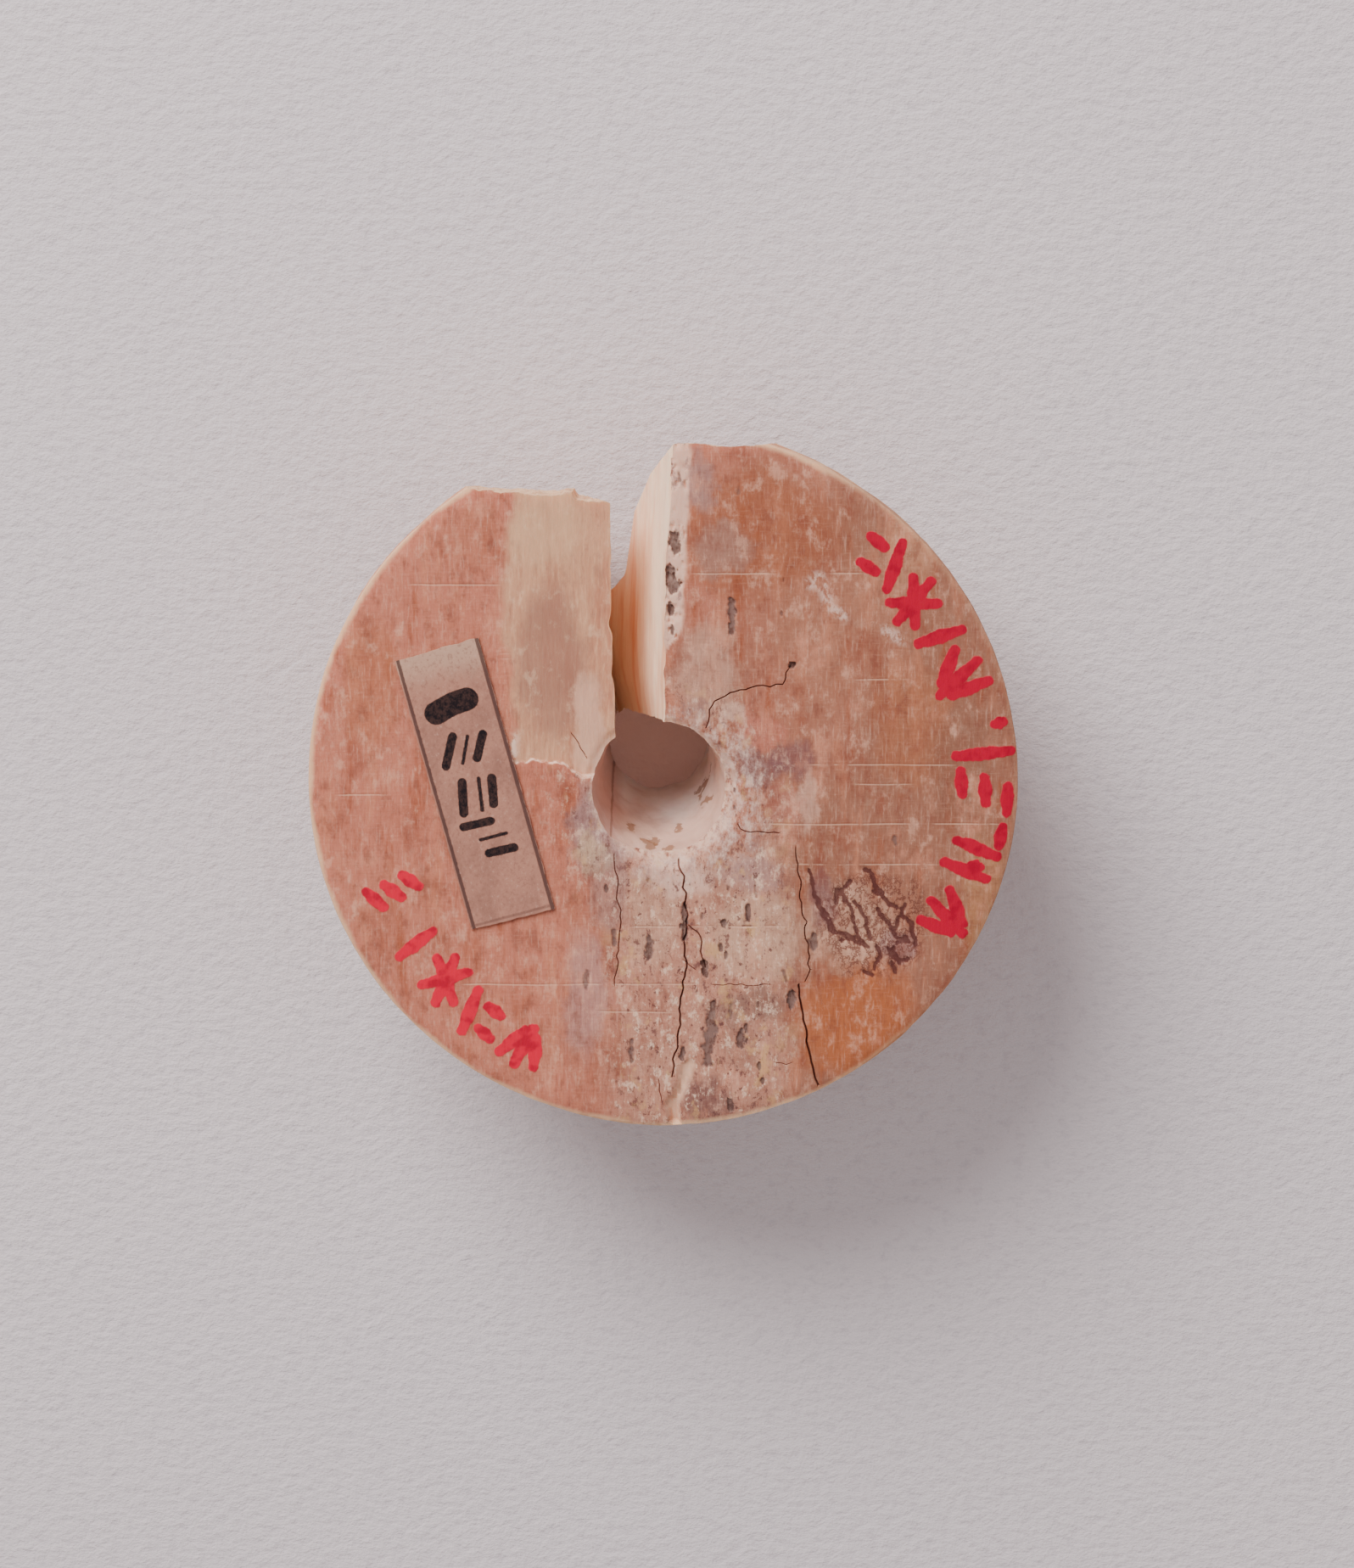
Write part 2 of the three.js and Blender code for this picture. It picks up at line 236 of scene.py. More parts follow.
def place_mark(kind, angle, radius, size, turn):
    """The mark's paths on the face, with the mark's height along the radius."""
    up = math.radians(angle)
    lean = math.radians(turn)
    out = np.array([math.cos(up + lean), math.sin(up + lean)])
    side = np.array([-out[1], out[0]])
    spot = radius * np.array([math.cos(up), math.sin(up)])
    return [spot + size * (path[:, :1] * side + path[:, 1:] * out) for path in stroke_mark(kind)]


# %% The two rows of marks
RIGHT_ROW = [
    ("branch", 45.9, 18.4, 1.05, 20), ("star", 36.5, 18.2, 1.08, 10), ("bar", 28.4, 18.4, 1.0, -14),
    ("rays", 19.9, 18.4, 1.15, 25), ("dot", 10.3, 20.0, 1.1, 0), ("bar", 5.4, 18.9, 1.2, -4),
    ("steps", -1.8, 18.9, 1.15, 4), ("dash", -9.2, 20.1, 0.8, 0), ("pair", -14.4, 18.8, 1.1, -18),
    ("rays", -25.7, 18.6, 1.05, 160),
]
LEFT_ROW = [
    ("steps", 201.7, 17.3, 0.95, 30), ("bar", 213.6, 17.6, 0.95, 0), ("star", 222.7, 17.6, 1.08, 20),
    ("branch", 232.4, 17.8, 1.0, 10), ("rays", 242.4, 18.0, 0.95, 0),
]
PAINT_HALF_WIDTH = 0.38
right_paint = [path for mark in RIGHT_ROW for path in place_mark(*mark)]
left_paint = [path for mark in LEFT_ROW for path in place_mark(*mark)]
print(len(right_paint) + len(left_paint), "red strokes")

# %% [markdown]
# ## The relief of the face
#
# The face is a height field: at each place it is a certain depth below the flat. One function adds up the
# flake scar beside the slot, the worn lip of the hole, the spongy band along the right lip, the pits, the
# channel and the cracks. It also returns how much each of them is present, and the material reads those
# amounts later to colour the same places.

# %% Places of the larger features
HOLE = np.array([-0.35, -0.2])
HOLE_EXIT_RADIUS = 3.02
HOLE_THROAT_RADIUS = 3.5
HOLE_MOUTH_RADIUS = 4.0
SCAR_FOOT = [(-9.6, 1.1), (-8.4, 1.1), (-7.6, 1.35), (-6.8, 1.15), (-5.9, 1.1), (-5.4, 0.7), (-4.8, 0.3),
             (-3.6, 0.3)]
SCAR_SLOPE = 0.115
STAIN_PATCH = np.array([11.8, -8.3])


def scar_foot(x):
    """The near edge of the flake scar, where the flake snapped off across the grain."""
    return np.interp(x, *zip(*SCAR_FOOT))


def scar_left(y):
    """The left edge of the flake scar, where it fades out."""
    return -9.2 + 0.35 * np.sin(y * 0.45) + 0.12 * np.sin(y * 1.9 + 1)


def lip_right(y):
    """The right lip of the slot."""
    along = np.clip((y - HOLE[1]) / (RIM_RADIUS + 3 - HOLE[1]), 0, 1)
    return 0.15 + 0.55 * along**4 - 0.1 * np.sin(2 * np.pi * along)


def relief(points):
    """Depth below the flat face, as a negative height in mm, and the named amounts of each feature."""
    x, y = points[:, 0], points[:, 1]
    radius = np.hypot(x, y)
    broad = noise_at(points, 0.16, 0.07, 3.0, 2)
    fine = noise_at(points, 1.4, 0.45, 11.0, 3)
    height = 0.035 * broad + 0.012 * fine
    amounts = {}
    # flake scar
    foot = scar_foot(x)
    above_foot = smooth_step(0.0, 0.14, y - foot + 0.12 * noise_at(points, 1.6, 1.6, 5.0, 2))
    bed = np.clip(x - scar_left(y), 0, None) * SCAR_SLOPE
    scar = above_foot * smooth_step(-0.1, 0.5, x - scar_left(y) + 0.25 * fine) * (x < -1.5)
    height -= above_foot * bed * (x < -1.5)
    height += scar * 0.03 * noise_at(points, 2.5, 0.25, 17.0, 2)
    amounts["scar"] = scar
    # worn lip of the hole, widest towards the right and the near side
    from_hole = np.hypot(x - HOLE[0], y - HOLE[1])
    turn = np.arctan2(y - HOLE[1], x - HOLE[0])
    worn_side = smooth_step(-0.3, 0.9, np.cos(turn + 0.75))
    width = 0.25 + 1.0 * worn_side + 0.22 * noise_at(points, 0.9, 0.9, 23.0, 3)
    worn = 1 - smooth_step(HOLE_MOUTH_RADIUS - 0.1, HOLE_MOUTH_RADIUS + np.clip(width, 0.15, None), from_hole)
    height -= worn * (0.12 + 0.55 * worn_side) * (1 + 0.35 * fine)
    amounts["worn"] = worn * (0.35 + 0.65 * worn_side)
    # spongy band along the right lip
    beside = x - lip_right(y)
    taper = smooth_step(7.6, 9.5, y) * 1.15 + 0.05
    band = smooth_step(-0.4, 0.1, beside) * (1 - smooth_step(taper * 0.75, taper, beside + 0.15 * fine))
    band *= smooth_step(7.4, 8.6, y)
    cells = np.clip(noise_at(points, 1.5, 0.75, 31.0, 3) - 0.05, 0, 1)
    height -= band * (0.08 + 0.42 * cells)
    amounts["spongy"] = band
    # near rim: wear
    height -= 0.10 * smooth_step(RIM_RADIUS - 1.2, RIM_RADIUS, radius) * (1 + 0.5 * fine)
    # pits
    ragged = noise_at(points, 3.1, 1.9, 37.0, 3)
    pit = np.zeros(len(points))
    for start, end, half, depth in PITS:
        near = np.abs(x - (start[0] + end[0]) / 2) < 1.2
        near &= np.abs(y - (start[1] + end[1]) / 2) < 0.8 + abs(start[1] - end[1])
        gap, along = path_distance(points[near], [start, np.asarray(end) + (0, 1e-3)])
        taper = 0.75 + 0.25 * np.sin(np.pi * along)
        edge = gap / (half * taper) + 0.6 * ragged[near]
        dip = 1 - smooth_step(0.35, 1.1, edge)
        height[near] -= dip * depth * PIT_DEPTH_SHARE
        pit[near] = np.maximum(pit[near], dip * min(1.0, depth / 0.3))
    amounts["pit"] = pit
    # chipped channel at the near rim
    gap, along = path_distance(points, CHANNEL)
    channel = 1 - smooth_step(0.16, 0.42, gap + 0.12 * fine)
    height -= channel * (0.15 + 0.45 * along)
    amounts["channel"] = channel
    # root marks
    root = np.zeros(len(points))
    near = np.hypot(x - STAIN_PATCH[0], y - STAIN_PATCH[1]) < 6
    for path in root_marks:
        gap, _ = path_distance(points[near], path)
        root[near] = np.maximum(root[near], 1 - smooth_step(0.03, 0.24, gap + 0.10 * ragged[near]))
    height -= 0.10 * root
    amounts["root"] = root
    # cracks
    crack = np.zeros(len(points))
    for path, half, depth in cracks.values():
        near = np.abs(x - path[:, 0].mean()) < 0.8 + np.ptp(path[:, 0]) / 2
        near &= np.abs(y - path[:, 1].mean()) < 0.8 + np.ptp(path[:, 1]) / 2
        near = np.flatnonzero(near)
        gap, along = path_distance(points[near], path)
        width = half * (0.45 + 0.55 * np.sqrt(np.clip(np.sin(np.pi * (0.08 + 0.84 * along)), 0, 1)))
        cut = np.clip(1 - gap / width, 0, 1)
        height[near] -= CRACK_DEPTH_SHARE * depth * np.minimum(1, 1.6 * cut) * (width / half)
        crack[near] = np.maximum(crack[near], np.minimum(1, 2 * cut))
    amounts["crack"] = crack
    return height, amounts


# %% [markdown]
# ## The face as a triangle patch
#
# The face needs small triangles only where something fine happens. The points come from nested square grids:
# a coarse grid everywhere, and finer ones near marks, strokes and lips. Extra points lie along the middle and
# the edges of each crack, so that its groove stays sharp. A Delaunay triangulation joins them all up.

# %% Spacing wanted at each place of the face
COARSE = 0.26
LEVELS = 2
RIM_POINTS = 480
CLOSEST = 0.07  # a grid point is left out where a crack point is about this near
BEVEL = 0.30
BAND = 1.1


def wanted_level(points):
    """How many times the coarse grid is halved at each point: round the hole, along the slot's right lip,
    over the root marks, along the foot of the scar, and at each pit and brush stroke."""
    x, y = points[:, 0], points[:, 1]
    level = np.zeros(len(points), int)
    from_hole = np.hypot(x - HOLE[0], y - HOLE[1])
    level[(from_hole > 3.2) & (from_hole < 5.6)] = 1
    level[(np.abs(x - 0.6) < 1.3) & (y > 6)] = 1
    level[(x > 8) & (x < 15.5) & (y > -12.2) & (y < -4.8)] = 1
    level[(np.abs(y - scar_foot(x)) < 0.5) & (x > -9.5) & (x < -3.5)] = 2
    for start, end, half, _ in PITS:
        gap, _ = path_distance(points, [start, np.asarray(end) + (0, 1e-3)])
        level[gap < 1.3 * half + 0.1] = 2
    for path in right_paint + left_paint:
        gap, _ = path_distance(points, path)
        level[np.abs(gap - PAINT_HALF_WIDTH) < 0.18] = 2
    return level


CRACK_POINT_GAP = 0.1
CRACK_ROWS = (0, -0.45, 0.45, -1.1, 1.1)  # in half widths from the middle of the crack


def crack_points():
    rows = []
    for path, half, _ in cracks.values():
        steps = np.linalg.norm(path[1:] - path[:-1], axis=1)
        count = int(steps.sum() / CRACK_POINT_GAP)
        spots = np.linspace(0, steps.sum(), count)
        passed = np.concatenate([[0], np.cumsum(steps)])
        middle = np.stack([np.interp(spots, passed, path[:, i]) for i in (0, 1)], axis=1)
        ahead = np.gradient(middle, axis=0)
        side = np.stack([-ahead[:, 1], ahead[:, 0]], axis=1) / np.linalg.norm(ahead, axis=1)[:, None]
        for shift in CRACK_ROWS:
            rows.append(middle + side * half * shift)
    return np.concatenate(rows)


def face_points(edge_radius):
    """Every point inside the rim: the crack points, then the grids from coarse to fine."""
    lines = crack_points()
    kept = [lines]
    taken = {tuple(cell) for cell in np.floor(lines / CLOSEST).astype(int)}
    for level in range(LEVELS + 1):
        step = COARSE / 2**level
        reach = int(RIM_RADIUS / step) + 1
        ticks = np.arange(-reach, reach + 1)
        column, row = (grid.ravel() for grid in np.meshgrid(ticks, ticks))
        if level:
            new = (column % 2 == 1) | (row % 2 == 1)
            column, row = column[new], row[new]
        points = np.stack([column, row], axis=1) * step
        points = points[np.hypot(points[:, 0], points[:, 1]) < edge_radius - 0.12]
        points = points[wanted_level(points) >= level]
        free = [tuple(cell) not in taken for cell in np.floor(points / CLOSEST).astype(int)]
        kept.append(points[np.array(free, bool)])
        print(f"grid {step:.3f} mm: {len(kept[-1])} points")
    return np.concatenate(kept)


# %% Triangulate the face
def rim_edge_radius(angles):
    """The face ends at a worn bevel, a little wider in some places than in others."""
    wave = [noise.noise(Vector((2.2 * math.cos(a), 2.2 * math.sin(a), 7.0))) for a in angles]
    return RIM_RADIUS - BEVEL * (1.15 + 0.9 * np.array(wave))


rim_angles = np.linspace(0, 2 * np.pi, RIM_POINTS, endpoint=False)
rim_radii = rim_edge_radius(rim_angles)
rim_loop = np.stack([rim_radii * np.cos(rim_angles), rim_radii * np.sin(rim_angles)], axis=1)
inner = face_points(rim_radii.min())
all_points = np.concatenate([rim_loop, inner])
rim_edges = [(i, (i + 1) % RIM_POINTS) for i in range(RIM_POINTS)]
flat = [Vector(point) for point in all_points.tolist()]
made = delaunay_2d_cdt(flat, rim_edges, [], 1, 1e-6)
face_xy = np.array([tuple(v) for v in made[0]])
face_triangles = [tuple(t) for t in made[2]]
kept_first = [ids[0] if ids else -1 for ids in made[3]]
face_rim = {ids: i for i, ids in enumerate(kept_first) if 0 <= ids < RIM_POINTS}
face_height, _ = relief(face_xy)
print(f"face: {len(face_xy)} points, {len(face_triangles)} triangles")

# %% [markdown]
# ## The blank: face, edge and dome in one closed skin
#
# Below the face the whorl is a turned shape, so its skin is made of rings: a worn bevel, a short upright
# edge, an elliptical dome and a small flat foot. Each ring strays a little, as hand work and wear leave it.

# %% Rings of the edge and dome
FOOT_RADIUS = 7.5
DOME_ROWS = 44
DOME_POINTS = RIM_POINTS // 2


def dome_profile():
    """Radius and height of each dome ring, from the edge band down to the foot."""
    top = HEIGHT - BEVEL - BAND
    foot_angle = math.acos(FOOT_RADIUS / RIM_RADIUS)
    tall = top / math.sin(foot_angle)
    rows = []
    for i in range(1, DOME_ROWS + 1):
        angle = foot_angle * i / DOME_ROWS
        rows.append((RIM_RADIUS * math.cos(angle), top - tall * math.sin(angle)))
    return rows


def wear(x, y, z):
    """How far the skin of the dome lies inside the turned shape, in mm."""
    broad = noise.fractal(Vector((x * 0.12, y * 0.08, z * 0.14 + 9)), 0.7, 2.0, 3)
    fibre = noise.fractal(Vector((x * 1.1, y * 0.14, z * 1.1 + 4)), 0.6, 2.0, 3)
    return max(0.01, 0.16 + 0.16 * broad + 0.05 * fibre)


def ring(radius, height, count, worn):
    points = []
    for i in range(count):
        angle = 2 * math.pi * i / count
        x, y = radius * math.cos(angle), radius * math.sin(angle)
        share = 1 - worn * wear(x, y, height) / radius
        points.append((x * share, y * share, height))
    return points


# %% Join the face, the rings and the foot
def blank_mesh():
    vertices = [(x, y, HEIGHT + h) for (x, y), h in zip(face_xy, face_height)]
    faces = list(face_triangles)
    edge = [face_rim[i] for i in range(RIM_POINTS)]
    edge_rows = [(RIM_RADIUS - 0.10, HEIGHT - 0.55 * BEVEL), (RIM_RADIUS - 0.02, HEIGHT - 1.1 * BEVEL)]
    edge_rows += [(RIM_RADIUS, HEIGHT - BEVEL - BAND * part) for part in (0.25, 0.5, 0.75, 1.0)]
    above = edge
    for i, (radius, height) in enumerate(edge_rows):
        below = list(range(len(vertices), len(vertices) + RIM_POINTS))
        vertices += ring(radius, height, RIM_POINTS, min(1, 0.35 + 0.2 * i))
        for a in range(RIM_POINTS):
            b = (a + 1) % RIM_POINTS
            faces += [(above[a], below[a], below[b]), (above[a], below[b], above[b])]
        above = below
    for i, (radius, height) in enumerate(dome_profile()):
        below = list(range(len(vertices), len(vertices) + DOME_POINTS))
        flat_foot = i == DOME_ROWS - 1
        vertices += ring(radius, 0.0 if flat_foot else height, DOME_POINTS, 0.3 if flat_foot else 1)
        half = len(above) // DOME_POINTS
        for a in range(DOME_POINTS):
            b = (a + 1) % DOME_POINTS
            over = [above[(a * half + k) % len(above)] for k in range(half + 1)]
            faces += [(over[k], below[a], over[k + 1]) for k in range(half)]
            faces.append((below[a], below[b], over[-1]))
        above = below
    vertices.append((0, 0, 0))
    faces += [(above[a], len(vertices) - 1, above[(a + 1) % DOME_POINTS]) for a in range(DOME_POINTS)]
    return vertices, faces


def new_object(name, vertices, faces):
    """An object from millimetre points about the middle of the disc. Its mesh is in metres, in the frame."""
    mesh = bpy.data.meshes.new(name)
    placed = (np.asarray(vertices, float) + (DISC_X, DISC_Y, 0)) * MM
    mesh.from_pydata(placed.tolist(), [], faces)
    mesh.update()
    made_object = bpy.data.objects.new(name, mesh)
    bpy.context.scene.collection.objects.link(made_object)
    return made_object


def face_outwards(made_object):
    """Turns every face to point out of the closed mesh."""
    shell = bmesh.new()
    shell.from_mesh(made_object.data)
    bmesh.ops.recalc_face_normals(shell, faces=shell.faces)
    open_edges = sum(1 for e in shell.edges if len(e.link_faces) != 2)
    volume = shell.calc_volume(signed=True) / MM**3
    shell.to_mesh(made_object.data)
    shell.free()
    faces = len(made_object.data.polygons)
    print(f"{made_object.name}: {faces} faces, open edges {open_edges}, {volume:.0f} mm3")
    return made_object


blank = face_outwards(new_object("whorl_blank", *blank_mesh()))

# %% [markdown]
# ## Cutting tools
#
# The hole, the slot and the broken side are cut with solids of their own, as they are in the frame, but with
# fine surfaces: the slot walls are long smooth splinters along the grain, and the broken side is a ragged
# break across it. Each tool is a row of closed sections, joined like the ribs of a boat.

# %% A solid through a row of closed sections
PAST = 1  # how far each tool reaches past the top and the bottom of the disc
OUTSIDE = RIM_RADIUS + 2  # and past the rim


def ribbed_solid(name, sections):
    count = len(sections[0])
    vertices = [point for section in sections for point in section]
    faces = []
    for s in range(len(sections) - 1):
        for c in range(count):
            a, b = s * count + c, s * count + (c + 1) % count
            faces += [(a, b, b + count), (a, b + count, a + count)]
    last = (len(sections) - 1) * count
    faces.append(tuple(reversed(range(count))))
    faces.append(tuple(range(last, last + count)))
    return face_outwards(new_object(name, vertices, faces))


# %% The spindle hole
HOLE_POINTS = 140
HOLE_ROWS = 52


def hole_tool():
    sections = []
    for row in range(HOLE_ROWS + 1):
        height = -PAST + (HEIGHT + 2 * PAST) * row / HOLE_ROWS
        inside = min(max(height, 0), HEIGHT) / HEIGHT
        radius = HOLE_EXIT_RADIUS + (HOLE_THROAT_RADIUS - HOLE_EXIT_RADIUS) * inside
        flare = inside**3
        section = []
        for i in range(HOLE_POINTS):
            angle = 2 * math.pi * i / HOLE_POINTS
            x, y = math.cos(angle), math.sin(angle)
            lump = noise.fractal(Vector((2.2 * x, 2.2 * y, height * 0.35)), 0.6, 2.0, 4)
            turned = 0.015 * math.sin(height * 9 + 2 * x)
            near_side = 0.5 + 0.5 * math.cos(angle + 0.75)
            funnel = (HOLE_MOUTH_RADIUS - HOLE_THROAT_RADIUS) * (0.6 + 0.9 * near_side) * flare
            reach = radius + funnel + 0.12 * lump + turned
            section.append((HOLE[0] + reach * x, HOLE[1] + reach * y, height))
        sections.append(section)
    return ribbed_solid("hole_tool", sections)


# %% The slot
LEFT_UNDERCUT = 0.16
RIGHT_SLOPE = 0.30
RIGHT_SLOPE_AT_HOLE = 0.215
SLOT_STATIONS = 118
SLOT_ROWS = 66


def lip_left(y):
    along = np.clip((y - HOLE[1]) / (RIM_RADIUS + 3 - HOLE[1]), 0, 1)
    chip = 0.22 * np.exp(-((y - 9.3) / 0.5) ** 2) + 0.1 * np.exp(-((y - 6.4) / 0.4) ** 2)
    return -2.85 - 0.1 * np.sin(np.pi * along) - chip


def slot_wall(y, height, side):
    """The x of the left (-1) or right (1) wall of the slot."""
    lean = float(smooth_step(1.5, 6.0, y))
    depth = HEIGHT - height
    splinter = noise.fractal(Vector((side * 9, y * 0.22, height * 1.1)), 0.6, 2.1, 4)
    bow = noise.noise(Vector((side * 3, y * 0.12, height * 0.2)))
    if side < 0:
        undercut = LEFT_UNDERCUT * (0.35 + 0.65 * lean)
        return lip_left(y) - undercut * depth + 0.10 * splinter + 0.25 * bow * min(1, depth)
    slope = RIGHT_SLOPE_AT_HOLE + (RIGHT_SLOPE - RIGHT_SLOPE_AT_HOLE) * lean
    rough = 0.07 + 0.12 * float(smooth_step(0.8, 0.0, depth))
    return lip_right(y) - slope * depth + rough * splinter + 0.18 * bow * min(1, depth)


def slot_tool():
    sections = []
    heights = np.linspace(HEIGHT + PAST, -PAST, SLOT_ROWS)
    for y in np.linspace(HOLE[1], OUTSIDE, SLOT_STATIONS):
        down = [(slot_wall(y, z, -1), y, z) for z in heights]
        up = [(slot_wall(y, z, 1), y, z) for z in heights[::-1]]
        sections.append(down + up)
    return ribbed_solid("slot_tool", sections)


# %% The broken side of the left half, and the chipped rim of the right half
BREAK_START = -14.2
BREAK_END = -2.0
BREAK_SLOPE = 0.12
BREAK_SIDE_LEAN = 0.23
BREAK_STATIONS = 96
BREAK_ROWS = 50


def break_line(x):
    """The broken top edge of the left half, with its small step."""
    line = 17.45 - 0.075 * (x + 11.2)
    step = -0.45 * smooth_step(-5.3, -5.15, x) + 0.25 * smooth_step(-6.6, -5.4, x)
    chips = 0.09 * noise.fractal(Vector((x * 0.9, 2.0, 0.5)), 0.7, 2.1, 4)
    return float(line + step + chips)


def break_tool():
    """The far end of the left half, broken off across the grain."""
    top, bottom = HEIGHT + PAST, -PAST
    sections = []
    for x in np.linspace(BREAK_START, BREAK_END, BREAK_STATIONS):
        lean = BREAK_SIDE_LEAN * smooth_step(-5.0, BREAK_END, x)
        section = []
        for z in np.linspace(top, bottom, BREAK_ROWS):
            depth = HEIGHT - z
            ragged = noise.fractal(Vector((x * 1.8, 6.0, z * 0.9)), 0.8, 2.1, 4)
            run_out = 1.2 * smooth_step(-11.2, BREAK_START, x)
            y = break_line(x) + run_out - BREAK_SLOPE * depth + 0.09 * ragged
            section.append((x - lean * depth, y, z))
        section += [(x - lean * (HEIGHT - z), OUTSIDE, z) for z in (bottom, top)]
        sections.append(section)
    return ribbed_solid("break_tool", sections)


TIP_EDGE = [(-4.8, 10.0), (-2.3, 12.6), (-1.75, 16.3), (-0.75, 18.5), (0.6, 20.12), (2.4, 20.15),
            (3.6, 19.95), (5.2, 19.95), (7.6, 20.4)]
TIP_START = -2.6
TIP_END = 7.6
TIP_SLOPE = 0.19
TIP_SIDE_LEAN = 0.16
TIP_STATIONS = 90
TIP_ROWS = 50


def tip_tool():
    """The far end of the right lip: a slanting break beside the slot and a shallow chip along the rim."""
    edge_x, edge_y = zip(*TIP_EDGE)
    top, bottom = HEIGHT + PAST, -PAST
    sections = []
    for station in np.linspace(TIP_START, TIP_END, TIP_STATIONS):
        section = []
        for z in np.linspace(top, bottom, TIP_ROWS):
            depth = HEIGHT - z
            x = station - TIP_SIDE_LEAN * depth
            ragged = noise.fractal(Vector((x * 0.9, 1.0, z * 0.9)), 0.7, 2.1, 4)
            edge = float(np.interp(x, edge_x, edge_y))
            section.append((x, edge + 0.08 * ragged - TIP_SLOPE * depth, z))
        section += [(station - TIP_SIDE_LEAN * (HEIGHT - z), OUTSIDE, z) for z in (bottom, top)]
        sections.append(section)
    return ribbed_solid("tip_tool", sections)


# %% Cut the blank
tools = [hole_tool(), slot_tool(), break_tool(), tip_tool()]
for index, tool in enumerate(tools):
    tool.data.materials.append(bpy.data.materials.new(tool.name))
    cut = blank.modifiers.new(tool.name, "BOOLEAN")
    cut.operation = "DIFFERENCE"
    cut.solver = "MANIFOLD"
    cut.material_mode = "TRANSFER"
    cut.object = tool
blank.data.materials.append(bpy.data.materials.new("outside"))
bpy.context.view_layer.update()
cut_mesh = bpy.data.meshes.new_from_object(blank.evaluated_get(bpy.context.evaluated_depsgraph_get()))
print(len(tools), "cuts leave", len(cut_mesh.polygons), "faces")


# %% [markdown]
# ## The finished whorl mesh
#
# Every face of the cut mesh still knows which tool made it, so the broken walls and the drilled wall get
# their own amounts. The named amounts of the relief are stored on the points, where the material reads them.

# %% Store the amounts on the mesh
whorl = bpy.data.objects.new("old_bone_whorl", cut_mesh)
bpy.context.scene.collection.objects.link(whorl)
for spare in [blank] + tools:
    bpy.data.objects.remove(spare)


SHARP_ANGLE = math.radians(40)
FAR = 5.0  # stands for any distance from a stroke that is too long to matter


def store(mesh, name, values, domain="POINT"):
    attribute = mesh.attributes.new(name, "FLOAT", domain)
    attribute.data.foreach_set("value", np.asarray(values, np.float32))


def stroke_field(points, paths, half_width):
    """Distance to the nearest brush stroke's edge in mm, negative inside the paint."""
    field = np.full(len(points), FAR)
    for path in paths:
        near = np.flatnonzero(np.linalg.norm(points - path.mean(axis=0), axis=1) < 4)
        gap, along = path_distance(points[near], path)
        width = half_width * (0.82 + 0.3 * np.sin(np.pi * along) ** 2)
        field[near] = np.minimum(field[near], gap - width)
    return field


def line_amount(points, paths, half_width):
    amount = np.zeros(len(points))
    for path in paths:
        path = np.asarray(path, float)
        reach = 1 + np.ptp(path, axis=0).max() / 2
        near = np.flatnonzero(np.abs(points - (path.min(0) + path.max(0)) / 2).max(axis=1) < reach)
        gap, _ = path_distance(points[near], path)
        amount[near] = np.maximum(amount[near], 1 - smooth_step(0.3 * half_width, half_width, gap))
    return amount


def finish_whorl(mesh):
    names = [material.name for material in mesh.materials]
    kinds = np.zeros(len(mesh.polygons), int)
    mesh.polygons.foreach_get("material_index", kinds)
    kinds = np.array(names)[kinds]
    store(mesh, "hole_wall", kinds == "hole_tool", "FACE")
    store(mesh, "broken_wall", np.isin(kinds, ("slot_tool", "break_tool", "tip_tool")), "FACE")
    store(mesh, "broken_end", np.isin(kinds, ("break_tool", "tip_tool")), "FACE")
    points = np.zeros(len(mesh.vertices) * 3)
    mesh.vertices.foreach_get("co", points)
    points = points.reshape(-1, 3) / MM - (DISC_X, DISC_Y, 0)
    flat = points[:, :2]
    height, amounts = relief(flat)
    on_face = np.abs(points[:, 2] - HEIGHT - height) < 0.03
    for name, amount in amounts.items():
        store(mesh, name, amount * on_face)
    on_top = points[:, 2] > HEIGHT - 2.0
    for name, paths in (("right_paint", right_paint), ("left_paint", left_paint)):
        store(mesh, name, np.where(on_top, stroke_field(flat, paths, PAINT_HALF_WIDTH), FAR))
    store(mesh, "chalk", line_amount(flat, CHALK, CHALK_HALF_WIDTH) * on_face)
    mesh.materials.clear()
    print(f"on the face: {on_face.sum()} of {len(points)} points")
    return {name: int((kinds == name).sum()) for name in names}


print(finish_whorl(whorl.data))
whorl.data.shade_smooth()
whorl.data.set_sharp_from_angle(angle=SHARP_ANGLE)

# %% [markdown]
# ## Shader helpers
#
# A finish is a formula over the surface. `Value` wraps a socket, so that the formula can be written as a
# Python expression, and each operator adds one Math node. Colours are mixed, never added, by `blend`.

